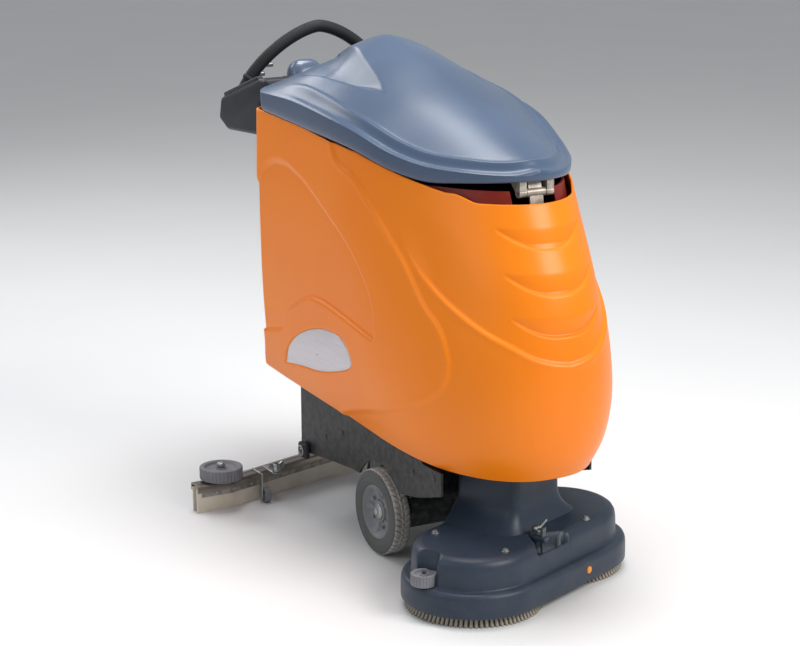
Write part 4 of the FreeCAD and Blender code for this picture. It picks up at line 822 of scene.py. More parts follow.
def buildDeckCover():
    # skirt, shoulder and top of the deck, with the room for the bumper roller and the lever opening
    form = deckForm
    rings = [(r, z, 0.004 * (r < 0.16 and z < 0.07)) for r, z in form["profile"]]
    inward = np.linspace(0.1165, 0.0008, form["topRows"])
    rings += [(r, form["topLevel"], 0.0) for r in inward]
    grid = []
    for r, z, wall in rings:
        flat = stadium(r)
        grid.append(flattenAtWheel(deckPlace(flat[:, 0], flat[:, 1], z), wall))
    grid = np.array(grid)

    away = grid[..., :2] - [bumperAt.x, bumperAt.y]
    reach = np.maximum(np.linalg.norm(away, axis=-1, keepdims=True), 1e-6)
    room = form["nicheRoom"] - 0.004 * smoothStep(0.14, 0.08, grid[..., 2:3])
    pushed = np.array([bumperAt.x, bumperAt.y]) + away / reach * room
    raised = grid[..., 2:3] > form["nicheFrom"]
    grid[..., :2] = np.where((reach < room) & raised, pushed, grid[..., :2])

    u, v = deckAxes(grid)
    edge = curveDistance(u, v, form["opening"], closed=True)
    onTop = grid[..., 2] > form["topFrom"]
    inside = insideCurve(u, v, form["opening"]) & onTop
    grid[..., 2] -= np.where(inside, form["openingDepth"] * smoothStep(0, form["openingWall"], edge), 0)
    onTop = grid[..., 2] > form["topFrom"]
    lip = form["lip"] * np.exp(-((edge - 0.003) / 0.002) ** 2)
    grid[..., 2] += np.where(~inside & onTop, lip, 0)

    verts = grid.reshape(-1, 3)
    faces = gridFaces(len(grid), grid.shape[1], wrap=True)
    piece = addMesh("deckCover", [(verts, faces)], finish["deckSlate"], "deck",
                    ["deck_cover"])
    # the floor of the lever opening takes the darker console black, painted shade deep in the opening
    piece.data.materials.append(finish["consoleBlack"])
    deep = inside.reshape(-1) & (edge.reshape(-1) > form["openingWall"])
    for polygon in piece.data.polygons:
        polygon.material_index = int(all(deep[i] for i in polygon.vertices))


def buildDeckInside():
    # the moulded underside of the deck, seen between the brushes
    ribs = []
    for u in (-0.10, -0.035, 0.035, 0.10):
        place = deckPlace(u, 0, 0.105)
        ribs.append(roundBox((0.005, 0.20, 0.060), place, 0.0015, Matrix.Rotation(deckTurn, 3, "Z"), 2))
    # the arm that carries the lever over the opening
    ribs.append(roundBox((0.017, 0.052, 0.012), deckPlace(-0.050, -0.096, 0.1438), 0.002,
                         Matrix.Rotation(deckTurn, 3, "Z"), 2))
    pin = turnedMesh([(0.0, 0.0775), (0.005, 0.0775), (0.005, 0.1085), (0.004, 0.1105), (0.0, 0.1105)],
                     (bumperAt.x, bumperAt.y, 0), (0, 0, 1), 24)
    addMesh("deckRibs", ribs + [pin], finish["deckSlate"], "deck", sharp=40)


columnForm = {
    "u": (-0.061, 0.124), "v": (-0.043, 0.134), "corner": 0.022, "top": 0.330, "foot": 0.1485,
    "flareHeight": 0.070, "flare": {"left": 0.052, "front": 0.022, "right": 0.055, "rear": 0.020}, "rows": 44,
    "wallFront": -0.2835, "seat": 0.132,
}


def buildColumn():
    # the square column over the deck, which flares out at its foot
    form = columnForm
    (u0, u1), (v0, v1) = form["u"], form["v"]
    grid = []
    for climb in np.linspace(0, 1, form["rows"]) ** 1.5:
        z = form["foot"] + (form["top"] - form["foot"]) * climb
        spread = np.clip(1 - (z - form["foot"]) / form["flareHeight"], 0, 1) ** 2.4
        wide = {k: w * spread for k, w in form["flare"].items()}
        lean = 0.004 * climb
        a, b = u0 - wide["left"] + lean, u1 + wide["right"] - lean
        c, d = v0 - wide["front"] + lean, v1 + wide["rear"] - lean
        corner = form["corner"] + 0.03 * spread
        ring = []
        for (cu, cv), start in (((b, c), -90), ((b, d), 0), ((a, d), 90), ((a, c), 180)):
            mu = cu - corner * (1 if cu == b else -1)
            mv = cv - corner * (1 if cv == d else -1)
            for k in range(10):
                angle = math.radians(start + 10 * k)
                ring.append((mu + corner * math.cos(angle), mv + corner * math.sin(angle)))
        dense = []
        for p, q in zip(ring, ring[1:] + ring[:1]):
            steps = 10 if math.dist(p, q) > 0.02 else 1
            dense += [(p[0] + (q[0] - p[0]) * k / steps, p[1] + (q[1] - p[1]) * k / steps)
                      for k in range(steps)]
        dense = np.array(dense)
        grid.append(deckPlace(dense[:, 0], dense[:, 1], z))
    # turn over the top edge and close it
    crown = grid[-1].copy()
    centre = crown.mean(0)
    for pull, lift in ((0.985, 0.002), (0.96, 0.003), (0.5, 0.003), (0.01, 0.003)):
        ring = centre + (crown - centre) * [pull, pull, 1]
        ring[:, 2] += lift - 0.003
        grid.append(ring)
    # flat where it passes the chassis wall on its way up
    grid = np.array(grid)
    grid[..., 1] = np.minimum(grid[..., 1], form["wallFront"])
    u, v = deckAxes(grid)
    span = deckForm["spanHalf"]
    reach = np.hypot(u - np.clip(u, -span, span), v)
    over = np.maximum(reach - form["seat"], 0)
    grid[..., 2] -= np.minimum(over * 0.9, 0.012) * (grid[..., 2] < 0.17)
    faces = gridFaces(len(grid), grid.shape[1], wrap=True)
    addMesh("deckColumn", [(grid.reshape(-1, 3), faces)], finish["deckSlate"], "deck",
            ["deck_column"], sharp=50)


def buildDeckBolts():
    # four button heads, each with a washer and a hex socket
    head = [(0.0, 0.0042), (0.0022, 0.0042), (0.0028, 0.0065), (0.0045, 0.0066), (0.0062, 0.0058),
            (0.0068, 0.0040), (0.0068, 0.0016), (0.0095, 0.0016), (0.0098, 0.0010), (0.0098, -0.001)]
    parts = []
    for u, v in ((-0.1785, 0.097), (-0.1775, -0.098), (0.112, -0.118), (0.150, 0.095)):
        place = deckPlace(u, v, deckForm["topLevel"] if abs(v) < 0.11 else deckForm["topLevel"] - 0.0006)
        parts.append(turnedMesh(head, place, (0, 0, 1), 20))
    addMesh("deckBolts", parts, finish["zincBright"], "deck", ["deck_bolts"], sharp=35)


def buildMarker():
    # a small round reflector set in the skirt
    low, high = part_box("edge_marker")
    place = (low + high) / 2
    out = Vector((math.sin(deckTurn), -math.cos(deckTurn), 0))
    disc = [(0.0, 0.0022), (0.004, 0.0021), (0.0075, 0.0014), (0.0088, 0.0004), (0.009, -0.003)]
    addMesh("edgeMarker", [turnedMesh(disc, place, out, 32)], finish["markerYellow"], "deck",
            ["edge_marker"], sharp=50)


def ribbedRoller(name, node, axis, body, material, ribs, depth, bore=0.30):
    # a soft roller: grooves across its tread, dished faces and a hub
    size = sizeOf(node)
    tall = abs(Vector(axis).dot(size))
    radius = max(size) / 2
    if tall > radius * 1.9:
        radius = sorted(size)[0] / 2
    half = tall / 2
    steps = ribs * 6
    outline = mirrored([(bore * radius * 0.5, -half * 0.80), (bore * radius, -half * 0.80),
                        (bore * radius * 1.15, -half * 0.55), (radius * 0.70, -half * 0.55),
                        (radius * 0.78, -half * 0.9), (radius * 0.90, -half), (radius * 0.985, -half * 0.92),
                        (radius, -half * 0.78)], [(radius, 0)])
    spin = Vector((0, 0, 1)).rotation_difference(Vector(axis)).to_matrix()
    centre = middle(node)
    verts = []
    for r, h in outline:
        for k in range(steps):
            turn = 2 * math.pi * k / steps
            groove = depth if (k % 6 in (0, 1)) and r > radius * 0.95 else 0.0
            verts.append(centre + spin @ Vector(((r - groove) * math.cos(turn), (r - groove) * math.sin(turn),
                                                 h)))
    faces = gridFaces(len(outline), steps, wrap=True)
    return addMesh(name, [(verts, faces)], finish[material], body, [node], sharp=35)


def buildBristles():
    # rings of tufts that splay outward to the floor
    steps = 7
    for hand, centre in (("left", farBrush), ("right", nearBrush)):
        parts = []
        for radius, count, lean in ((0.138, 84, 0.016), (0.124, 76, 0.011), (0.110, 66, 0.008),
                                    (0.094, 56, 0.005), (0.078, 46, 0.003)):
            for k in range(count):
                turn = 2 * math.pi * (k + 0.5 * (count % 4 == 0)) / count
                wander = 0.0012 * math.sin(k * 12.9898 + radius * 780)
                out = np.array([math.cos(turn), math.sin(turn), 0])
                side = np.array([-math.sin(turn), math.cos(turn), 0])
                base = np.array([centre.x, centre.y, 0]) + out * radius
                verts = []
                for share, wide in ((0.0, 0.0030), (0.5, 0.0034), (0.92, 0.0042), (1.0, 0.0036)):
                    mid = base + out * (lean * share ** 1.6) + side * wander * share + [0, 0,
                                                                                        0.0425 * (1 - share)]
                    verts += [mid + wide * (out * math.cos(a) + side * math.sin(a))
                              for a in np.linspace(0, 2 * np.pi, steps, endpoint=False)]
                faces = gridFaces(4, steps, wrap=True) + [tuple(range(3 * steps, 4 * steps))]
                parts.append((verts, faces))
        addMesh("bristles" + hand.title(), parts, finish["bristle"], "brush_" + hand,
                ["bristles_" + hand])


def buildReleaseLever():
    # a wire lever with a soft bend, on a round boss
    u, v, z = -0.050, -0.095, 0.166
    ways = [deckPlace(u + reach, v + reach * 0.095, z + lift)
            for reach, lift in ((0.0, 0.0), (0.014, 0.0015), (0.028, 0.005), (0.040, 0.009))]
    lever = sweptRod([Vector(w) for w in ways], [0.0040, 0.0040, 0.0040, 0.0034], 16)
    boss = turnedMesh(mirrored([(0.0031, -0.006), (0.0072, -0.006), (0.008, -0.005)]),
                      Vector(deckPlace(u, v, z)), Vector((-math.sin(deckTurn), math.cos(deckTurn), 0)), 28)
    addMesh("releaseLever", [lever, boss], finish["zincBright"], "release_lever", ["release_lever"],
            sharp=40)


def sweptRod(points, radii, sides):
    # a round rod along points, with a radius at each and closed ends
    verts = []
    for i, place in enumerate(points):
        ahead = (points[min(i + 1, len(points) - 1)] - points[max(i - 1, 0)]).normalized()
        up = Vector((0, 0, 1)) if abs(ahead.z) < 0.95 else Vector((0, 1, 0))
        across = ahead.cross(up).normalized()
        rise = across.cross(ahead).normalized()
        for k in range(sides):
            turn = 2 * math.pi * k / sides
            verts.append(place + radii[i] * (across * math.cos(turn) + rise * math.sin(turn)))
    faces = gridFaces(len(points), sides, wrap=True, flip=True)
    return verts, faces + [tuple(range(sides)), tuple(range(len(verts) - 1, len(verts) - sides - 1, -1))]


buildDeckCover()
buildDeckInside()
buildColumn()
buildDeckBolts()
buildMarker()
buildBristles()
buildReleaseLever()
ribbedRoller("bumperRoller", "bumper_roller", (0, 0, 1), "bumper_roller", "rollerDark", 26,
             0.0012)
print("brush deck built")


# ---- drive wheels and caster ----

tyreForm = {"blocks": 44, "depth": 0.0032, "ringGroove": 0.0025, "treadFrom": 0.1015,
            "middleHalf": 0.0028, "slant": 26}


def buildWheel(hand, side):
    # tyre with cut blocks, dished hub and cap
    low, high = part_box("tyre_" + hand)
    centre = (low + high) / 2
    radius = (high.z - low.z) / 2
    steps = tyreForm["blocks"] * 8
    # outline from the inner rim bead round the tread to the other bead
    outline = mirrored([(0.0662, -0.018), (0.0665, -0.0195), (0.070, -0.0215), (0.078, -0.0236),
                        (0.086, -0.0240), (0.088, -0.0232), (0.0895, -0.0240), (0.095, -0.0238),
                        (0.099, -0.0222), (0.1020, -0.0205), (0.1035, -0.0190), (0.1046, -0.0165),
                        (0.105, -0.0135), (0.105, -0.0075), (0.105, -0.0060), (0.105, -0.0035),
                        (0.105, -0.0020)])
    verts = []
    for r, h in outline:
        band = 0 if abs(h) < tyreForm["middleHalf"] else (1 if h > 0 else -1)
        for k in range(steps):
            phase = (k / 8 + (0.5 if band > 0 else 0.0) + h * tyreForm["slant"]
                     * (1 if band >= 0 else -1)) % 1.0
            cut = 0.0
            if r > tyreForm["treadFrom"]:
                cut = tyreForm["depth"] * float(smoothStep(0.0, 0.06, phase)
                                                * (1 - smoothStep(0.24, 0.30, phase)))
                if 0.0029 < abs(h) < 0.0065:
                    cut = max(cut, tyreForm["ringGroove"])
                if band == 0:
                    cut = tyreForm["depth"] * 0.7 * float(smoothStep(0.0, 0.06, phase)
                                                          * (1 - smoothStep(0.18, 0.24, phase)))
            turn = 2 * math.pi * k / steps
            q = min(r, radius) - cut
            verts.append((centre.x + h * side, centre.y + q * math.cos(turn), centre.z + q * math.sin(turn)))
    faces = gridFaces(len(outline), steps, wrap=True, flip=side > 0)
    piece = addMesh("tyre" + hand.title(), [(verts, faces)], finish["tyreGrey"], "wheel_" + hand,
                    ["tyre_" + hand], sharp=32)
    piece.data.materials.append(finish["treadBrown"])
    treadRows = [i for i, (r, h) in enumerate(outline) if r > tyreForm["treadFrom"]]
    for polygon in piece.data.polygons:
        row = min(polygon.vertices) // steps
        polygon.material_index = int(row in treadRows and row + 1 in treadRows)

    # dished hub with five raised spokes, bead ring and centre boss
    hub = [(0.0665, -0.018), (0.0665, 0.0185), (0.0655, 0.0200), (0.0640, 0.0205), (0.0620, 0.0198),
           (0.0605, 0.0175), (0.0570, 0.0130), (0.0540, 0.0085), (0.0500, 0.0050), (0.0460, 0.0036),
           (0.0360, 0.0030), (0.0300, 0.0036), (0.0270, 0.0050), (0.0262, 0.0070), (0.0258, 0.0090),
           (0.0240, 0.0102), (0.0215, 0.0104), (0.0102, 0.0100), (0.0101, -0.0150), (0.0240, -0.0150),
           (0.0260, -0.0110), (0.0500, -0.0090), (0.0580, -0.0140)]
    verts = []
    turns = 180
    for r, h in hub:
        for k in range(turns):
            turn = 2 * math.pi * k / turns
            spoke = abs((turn * 5 / (2 * math.pi)) % 1.0 - 0.5) * 2
            lift = 0.0045 * float(1 - smoothStep(0.20, 0.34, 1
                                                 - spoke)) if 0.029 < r < 0.058 and 0 < h < 0.012 else 0.0
            verts.append((centre.x + (h + lift) * side, centre.y + r * math.cos(turn),
                          centre.z + r * math.sin(turn)))
    faces = gridFaces(len(hub), turns, wrap=True, flip=side < 0)
    last = (len(hub) - 1) * turns
    ends = [(last + k, last + (k + 1) % turns, (k + 1) % turns, k) for k in range(turns)]
    faces += [e[::-1] for e in ends] if side < 0 else ends
    parts = [(verts, faces)]
    for k in range(5):
        turn = 2 * math.pi * (k + 0.5) / 5
        spot = (centre.x + side * 0.0078, centre.y + 0.040 * math.cos(turn),
                centre.z + 0.040 * math.sin(turn))
        parts.append(turnedMesh([(0.0, 0.0036), (0.0036, 0.0034), (0.0042, 0.0022), (0.0042, -0.003)], spot,
                                (side, 0, 0), 6))
    addMesh("hub" + hand.title(), parts, finish["hubGrey"], "wheel_" + hand, ["hub_" + hand],
            sharp=35)

    low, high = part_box("wheel_cap_" + hand)
    cap = [(0.0, 0.0108), (0.0040, 0.0106), (0.0078, 0.0098), (0.0090, 0.0085), (0.0092, 0.0068),
           (0.0110, 0.0060), (0.0160, 0.0050), (0.0188, 0.0036), (0.0198, 0.0016), (0.0200, 0.0004)]
    base = low.x if side > 0 else high.x
    addMesh("wheelCap" + hand.title(), [turnedMesh(cap, (base, centre.y, centre.z), (side, 0, 0), 48)],
            finish["zincBright"], "wheel_" + hand, ["wheel_cap_" + hand], sharp=40)


for hand, side in hands.items():
    buildWheel(hand, side)
ribbedRoller("casterWheel", "caster_wheel", (1, 0, 0), "caster_wheel", "casterDark", 40,
             0.0006)
print("wheels built")


# ---- squeegee ----

squeegeeForm = {
    "half": 0.475, "bend": 0.378, "tip": 0.355, "centre": 0.472, "soft": 0.070,
    "samples": 150, "swingPinY": 0.392, "gapHalf": 0.015,
}


def squeegeeLine(x):
    # the middle line of the shallow V
    form = squeegeeForm
    slope = (form["centre"] - form["tip"]) / form["bend"]
    side = np.abs(x)
    straight = form["tip"] + (form["bend"] - side) * slope
    rounded = form["centre"] - slope * (form["soft"] / 2 + side ** 2 / (2 * form["soft"]))
    y = np.where(side < form["soft"], rounded, straight)
    return np.where(side > form["bend"], form["tip"], y)


def squeegeeBand(name, outline, material, stands, half=None, body="squeegee", wave=0.0, sharp=35):
    # an (offset in y, height) outline drawn along the V, with closed ends
    half = half or squeegeeForm["half"]
    xs = np.linspace(-half, half, squeegeeForm["samples"])
    rows = []
    for off, z in outline:
        ripple = wave * np.sin(xs * 70) * max(0.0, 1 - z / 0.03)
        rows.append(np.stack([xs, squeegeeLine(xs) + off + ripple, np.full(xs.shape, z)], -1))
    grid = np.array(rows).transpose(1, 0, 2)
    count = len(outline)
    faces = gridFaces(len(xs), count, wrap=True)
    faces += [tuple(range(count))[::-1], tuple(range((len(xs) - 1) * count, len(xs) * count))]
    return addMesh(name, [(grid.reshape(-1, 3), faces)], material, body, stands, sharp=sharp)


channelTop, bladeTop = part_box("front_blade")[1].z + 0.015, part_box("front_blade")[1].z
gapHalf, swingPinY = squeegeeForm["gapHalf"], squeegeeForm["swingPinY"]


def buildSqueegee():
    # channel, two blades, their clamps and the swing plate
    steel = finish["stainlessBrushed"]
    out = gapHalf + 0.007
    channel = [(-out, bladeTop - 0.006), (-out - 0.0005, channelTop - 0.006),
               (-out + 0.002, channelTop - 0.0015), (-out + 0.006, channelTop), (-0.004, channelTop),
               (-0.003, channelTop - 0.001), (0.003, channelTop - 0.001), (0.004, channelTop),
               (out - 0.006, channelTop), (out - 0.002, channelTop - 0.0015),
               (out + 0.0005, channelTop - 0.006), (out, bladeTop - 0.006), (out - 0.002, bladeTop - 0.006),
               (out - 0.002, channelTop - 0.004), (-out + 0.002, channelTop - 0.004),
               (-out + 0.002, bladeTop - 0.006)]
    squeegeeBand("squeegeeChannel", channel, steel, ["squeegee_channel"])
    for name, node, sign in (("frontBlade", "front_blade", -1), ("rearBlade", "rear_blade", 1)):
        near, far = sign * gapHalf, sign * (gapHalf - 0.004)
        blade = [(near, 0.0), (near, 0.012), (near, 0.030), (near, bladeTop + 0.004), (far, bladeTop + 0.004),
                 (far, 0.030), (far, 0.012), (far, 0.0)]
        if sign > 0:
            blade = blade[::-1]
        squeegeeBand(name, blade, finish["bladeTan"], [node], wave=0.0006)
    for name, sign in (("frontClamp", -1), ("rearClamp", 1)):
        a, b = sign * gapHalf, sign * (gapHalf + 0.003)
        strip = [(a, 0.040), (b, 0.0405), (b, 0.0575), (a, 0.058)]
        if sign < 0:
            strip = strip[::-1]
        squeegeeBand(name, strip, steel, ["blade_clamps"] if sign > 0 else [], half=0.462)
    # core that spaces the blades, the swing plate and clamp screws
    core = [(-0.011, 0.038), (-0.011, 0.056), (-0.008, 0.056), (-0.008, 0.038)]
    squeegeeBand("frontCore", core[::-1], steel, [], half=0.455)
    squeegeeBand("rearCore", [(-a, z) for a, z in core], steel, [], half=0.455)
    parts = []
    for x in np.linspace(-0.42, 0.42, 9):
        for sign in (-1, 1):
            spot = (x, float(squeegeeLine(np.array(x))) + sign * (gapHalf + 0.003), 0.049)
            parts.append(turnedMesh([(0.0, 0.0030), (0.0030, 0.0028), (0.0042, 0.0018), (0.0044, -0.001)],
                                    spot, (0, sign, 0), 12))
    addMesh("clampScrews", parts, finish["zincBright"], "squeegee", sharp=40)

    plate = roundBox((0.090, 0.082, 0.006), (0, 0.407, channelTop + 0.003), 0.002)
    pin = turnedMesh([(0.0, 0.122), (0.006, 0.1215), (0.008, 0.119), (0.008, 0.076)], (0, swingPinY, 0),
                     (0, 0, 1), 32)
    nut = turnedMesh([(0.0, 0.1155), (0.0125, 0.1155), (0.0135, 0.1148), (0.0135, 0.1125), (0.0, 0.1125)],
                     (0, swingPinY, 0), (0, 0, 1), 6)
    addMesh("swingPlate", [plate, pin, nut], steel, "squeegee", sharp=35)


def buildSpigot():
    # a ribbed stub, leaning back, with its collar
    tilt = math.radians(25)
    axis = Vector((0, math.sin(tilt), math.cos(tilt)))
    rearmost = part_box("suction_spigot")[1].y
    foot = Vector((0, rearmost - math.cos(tilt) * 0.022 - math.sin(tilt) * 0.068, channelTop + 0.006))
    outline = [(0.027, -0.004), (0.0272, 0.018), (0.0262, 0.0212), (0.0245, 0.022), (0.0222, 0.0222)]
    for k in range(3):
        base = 0.030 + 0.0105 * k
        outline += [(0.0214, base), (0.0220, base + 0.0012), (0.0220, base + 0.0062), (0.0214, base + 0.0074)]
    outline += [(0.0216, 0.0665), (0.0208, 0.068), (0.0186, 0.068), (0.0180, 0.0665), (0.0180, 0.0)]
    verts, faces = turnedMesh(outline, foot, axis, 56)
    verts = [Vector((v.x, v.y, max(v.z, channelTop + 0.0055))) for v in verts]
    addMesh("suctionSpigot", [(verts, faces)], finish["casterDark"], "squeegee",
            ["suction_spigot"], sharp=40)


def buildKnob(hand):
    # wing knob: a boss with two swept wings
    centre = middle("wing_knob_" + hand)
    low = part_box("wing_knob_" + hand)[0]
    boss = turnedMesh([(0.0052, 0.0), (0.0102, 0.0002), (0.0110, 0.003), (0.0098, 0.012), (0.0092, 0.0178),
                       (0.0080, 0.0198), (0.0052, 0.0203)], (centre.x, centre.y, low.z), (0, 0, 1), 32)
    parts = [boss]
    for way in (-1, 1):
        rows = []
        for share in np.linspace(0, 1, 9):
            x = way * (0.006 + 0.0155 * share)
            tall = 0.0125 + 0.0035 * math.sin(share * math.pi * 0.55) * 2
            foot = 0.003 + 0.006 * share ** 1.5
            thick = 0.0040 - 0.0014 * share
            ring = [(x, -thick, foot), (x, -thick * 1.1, (foot + tall) / 2), (x, -thick * 0.7, tall + 0.004),
                    (x, thick * 0.7, tall + 0.004), (x, thick * 1.1, (foot + tall) / 2), (x, thick, foot)]
            rows += [(centre.x + a, centre.y + b, low.z + c) for a, b, c in ring]
        faces = gridFaces(9, 6, wrap=True, flip=way > 0)
        faces.append(tuple(range(48, 54)) if way < 0 else tuple(range(53, 47, -1)))
        parts.append((rows, faces))
    addMesh("wingKnob" + hand.title(), parts, finish["zincBright"], "wing_knob_" + hand,
            ["wing_knob_" + hand], sharp=40)


def buildFittings():
    # roller pins, hangers of the small wheels and the knob plates
    parts = []
    for hand, side in hands.items():
        roller = middle("end_roller_" + hand)
        parts.append(turnedMesh([(0.0, 0.1215), (0.0065, 0.1213), (0.0098, 0.1195), (0.0110, 0.1170),
                                 (0.0110, 0.1130), (0.0060, 0.1128), (0.0060, 0.0792), (0.0140, 0.0790),
                                 (0.0142, 0.0745)], (roller.x, roller.y, 0), (0, 0, 1), 40))
        wheel = middle("support_wheel_" + hand)
        channelY = float(squeegeeLine(np.array(wheel.x)))
        outer = wheel.x + side * 0.012
        parts.append(roundBox((0.004, 0.016, 0.068), (outer, wheel.y, 0.046), 0.0015))
        parts.append(roundBox((0.004, abs(channelY - wheel.y) + 0.012, 0.005),
                              (outer, (channelY + wheel.y) / 2, 0.0775), 0.0015))
        parts.append(turnedMesh([(0.0, 0.0165), (0.0042, 0.0162), (0.0058, 0.0150), (0.0058, 0.0118),
                                 (0.0039, 0.0112), (0.0039, -0.010), (0.0, -0.0105)],
                                (wheel.x, wheel.y, wheel.z), (side, 0, 0), 28))
        knob = middle("wing_knob_" + hand)
        channelY = float(squeegeeLine(np.array(knob.x)))
        parts.append(roundBox((0.024, channelY - knob.y + 0.012, 0.004),
                              (knob.x, (channelY + knob.y) / 2 - 0.006, 0.077), 0.0015))
        parts.append(turnedMesh([(0.0, 0.0985), (0.0042, 0.0982), (0.0050, 0.0965), (0.0050, 0.0775)],
                                (knob.x, knob.y, 0), (0, 0, 1), 28))
    addMesh("squeegeeFittings", parts, finish["zincBright"], "squeegee", ["squeegee_fittings"],
            sharp=38)


def buildArm():
    # a cast arm with two ribs, its pivot tube and its swing eye
    low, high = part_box("squeegee_arm")
    pivot = Vector((0, low.y + 0.016, high.z - 0.016))
    tube = mirrored([(0.0081, -0.055), (0.0140, -0.055), (0.0158, -0.0535), (0.0160, -0.050)])
    eye = [(0.0081, 0.088), (0.0245, 0.088), (0.0260, 0.0895), (0.0260, 0.1105), (0.0245, 0.112),
           (0.0081, 0.112)]
    parts = [turnedMesh(tube, pivot, (1, 0, 0), 48), turnedMesh(eye, (0, swingPinY, 0), (0, 0, 1), 48)]
    top = [(0.302, 0.196), (0.318, 0.190), (0.345, 0.163), (0.370, 0.128), (0.384, 0.1115)]
    foot = [(0.298, 0.178), (0.312, 0.168), (0.335, 0.142), (0.360, 0.108), (0.380, 0.0895)]
    for x, wide, drop in ((-0.024, 0.008, 0.0), (0.024, 0.008, 0.0), (0.0, 0.050, 0.005)):
        rows = []
        for (ty, tz), (fy, fz) in zip(top, foot):
            rows += [(x - wide / 2, ty, tz - drop), (x + wide / 2, ty, tz - drop),
                     (x + wide / 2, fy, fz + drop), (x - wide / 2, fy, fz + drop)]
        faces = gridFaces(len(top), 4, wrap=True) + [(0, 1, 2, 3), (19, 18, 17, 16)]
        parts.append((rows, faces))
    addMesh("squeegeeArm", parts, finish["castingGrey"], "squeegee_arm", ["squeegee_arm"],
            sharp=35)


buildSqueegee()
buildSpigot()
buildFittings()
buildArm()
for hand in ("right", "left"):
    buildKnob(hand)
    ribbedRoller("endRoller" + hand.title(), "end_roller_" + hand, (0, 0, 1), "end_roller_" + hand,
                 "rollerDark", 34, 0.0014, bore=0.22)
    ribbedRoller("supportWheel" + hand.title(), "support_wheel_" + hand, (1, 0, 0), "support_wheel_" + hand,
                 "hubGrey", 20, 0.0004, bore=0.36)
print("squeegee built")


# ---- console, handle and controls ----

consoleForm = {
    "profile": [(0.431, 0.935), (0.640, 0.922), (0.6923, 0.945), (0.678, 1.004), (0.440, 1.082),
                (0.400, 1.082),
                (0.400, 1.020), (0.431, 1.020)],
    "half": 0.235, "round": 0.012, "leverX": 0.150, "leverPivot": (0.555, 0.905),
}
panelRear, panelFront = consoleForm["profile"][3], consoleForm["profile"][4]
panelSlope = math.atan2(panelFront[1] - panelRear[1], panelRear[0] - panelFront[0])
panelTurn = Matrix.Rotation(-panelSlope, 3, "X")


def onPanel(x, up, lift=0.0):
    return Vector((x, panelRear[0], panelRear[1])) + panelTurn @ Vector((0, -up, lift))


def buildConsole():
    # a wedge with rounded edges and a sloping panel
    form = consoleForm
    shape = bmesh.new()
    near = [shape.verts.new((-form["half"], y, z)) for y, z in form["profile"]]
    far = [shape.verts.new((form["half"], y, z)) for y, z in form["profile"]]
    shape.faces.new(near)
    shape.faces.new(far[::-1])
    for k in range(len(near)):
        j = (k + 1) % len(near)
        shape.faces.new((near[j], near[k], far[k], far[j]))
    bmesh.ops.recalc_face_normals(shape, faces=shape.faces)
    bmesh.ops.bevel(shape, geom=list(shape.edges), offset=form["round"], segments=4, profile=0.5,
                    affect="EDGES", clamp_overlap=True)
    verts = [v.co.copy() for v in shape.verts]
    faces = [tuple(v.index for v in f.verts) for f in shape.faces]
    shape.free()
    parts = [(verts, faces)]
    # raised panel surround and a shallow tray, set on the slope
    parts.append(roundBox((0.330, 0.206, 0.006), onPanel(0.012, 0.122, 0.002), 0.0025, panelTurn))
    for x in (-0.222, 0.222):
        parts.append(roundBox((0.020, 0.215, 0.012), onPanel(x, 0.125, 0.002), 0.005, panelTurn))
    # cheeks of the lift lever
    y, z = form["leverPivot"]
    for side in (-1, 1):
        parts.append(roundBox((0.006, 0.028, 0.050), (form["leverX"] + side * 0.0105, y, z + 0.012), 0.002))
    pin = mirrored([(0.0, 0.0145), (0.0062, 0.0142), (0.0068, 0.0130), (0.0039, 0.0128)])
    parts.append(turnedMesh(pin, (form["leverX"], y, z), (1, 0, 0), 28))
    addMesh("consoleHousing", parts, finish["consoleBlack"], "tank", ["console_housing"],
            sharp=38)


hoopForm = {"half": 0.214, "footY": 0.602, "footZ": 1.000, "rise": 0.186, "lean": 0.034, "power": 1.54,
            "radius": 0.0162}


def hoopPlace(share):
    form = hoopForm
    turn = math.pi * share
    reach = abs(math.cos(turn)) ** (2 / form["power"])
    lift = math.sin(turn) ** (2 / form["power"])
    return Vector((form["half"] * math.copysign(reach, math.cos(turn)), form["footY"] - form["lean"] * lift,
                   form["footZ"] + form["rise"] * lift))


def buildHoop():
    # ribbed grip round a bent tube, with collars at its ends
    rough = [hoopPlace(k / 400) for k in range(401)]
    reach = [0.0]
    for a, b in zip(rough, rough[1:]):
        reach.append(reach[-1] + (b - a).length)
    count = 240
    points, radii = [], []
    for k in range(count):
        target = reach[-1] * k / (count - 1)
        points.append(Vector([np.interp(target, reach, [p[i] for p in rough]) for i in range(3)]))
        share = k / (count - 1)
        grip = 0.10 < share < 0.90
        ring = 0.0007 * (k % 3 == 0) * grip
        radii.append(hoopForm["radius"] * (1.0 if grip else 0.93) - ring)
    tube = sweptRod(points, radii, 28)
    parts = [tube]
    for share, wide, thick in ((0.03, 0.0185, 0.026), (0.97, 0.0185, 0.026), (0.105, 0.0182, 0.010),
                               (0.895, 0.0182, 0.010)):
        i = int(share * (count - 1))
        way = (points[i + 1] - points[i - 1]).normalized()
        collar = [(hoopForm["radius"] * 0.9, -thick / 2), (wide - 0.002, -thick / 2),
                  (wide, -thick / 2 + 0.002), (wide, thick / 2 - 0.002), (wide - 0.002, thick / 2),
                  (hoopForm["radius"] * 0.9, thick / 2)]
        parts.append(turnedMesh(collar, points[i], way, 36))
    addMesh("handleHoop", parts, finish["gripRubber"], "tank", ["handle_hoop"], sharp=45)
    # cable clips on the inside of the right leg
    clips = []
    for share in (0.86, 0.80):
        i = int(share * (count - 1))
        inward = (Vector((0, points[i].y, 1.03)) - points[i]).normalized()
        clips.append(roundBox((0.020, 0.016, 0.012), points[i] + inward * 0.020, 0.003))
    addMesh("hoopClips", clips, finish["zincBright"], "tank", sharp=35)


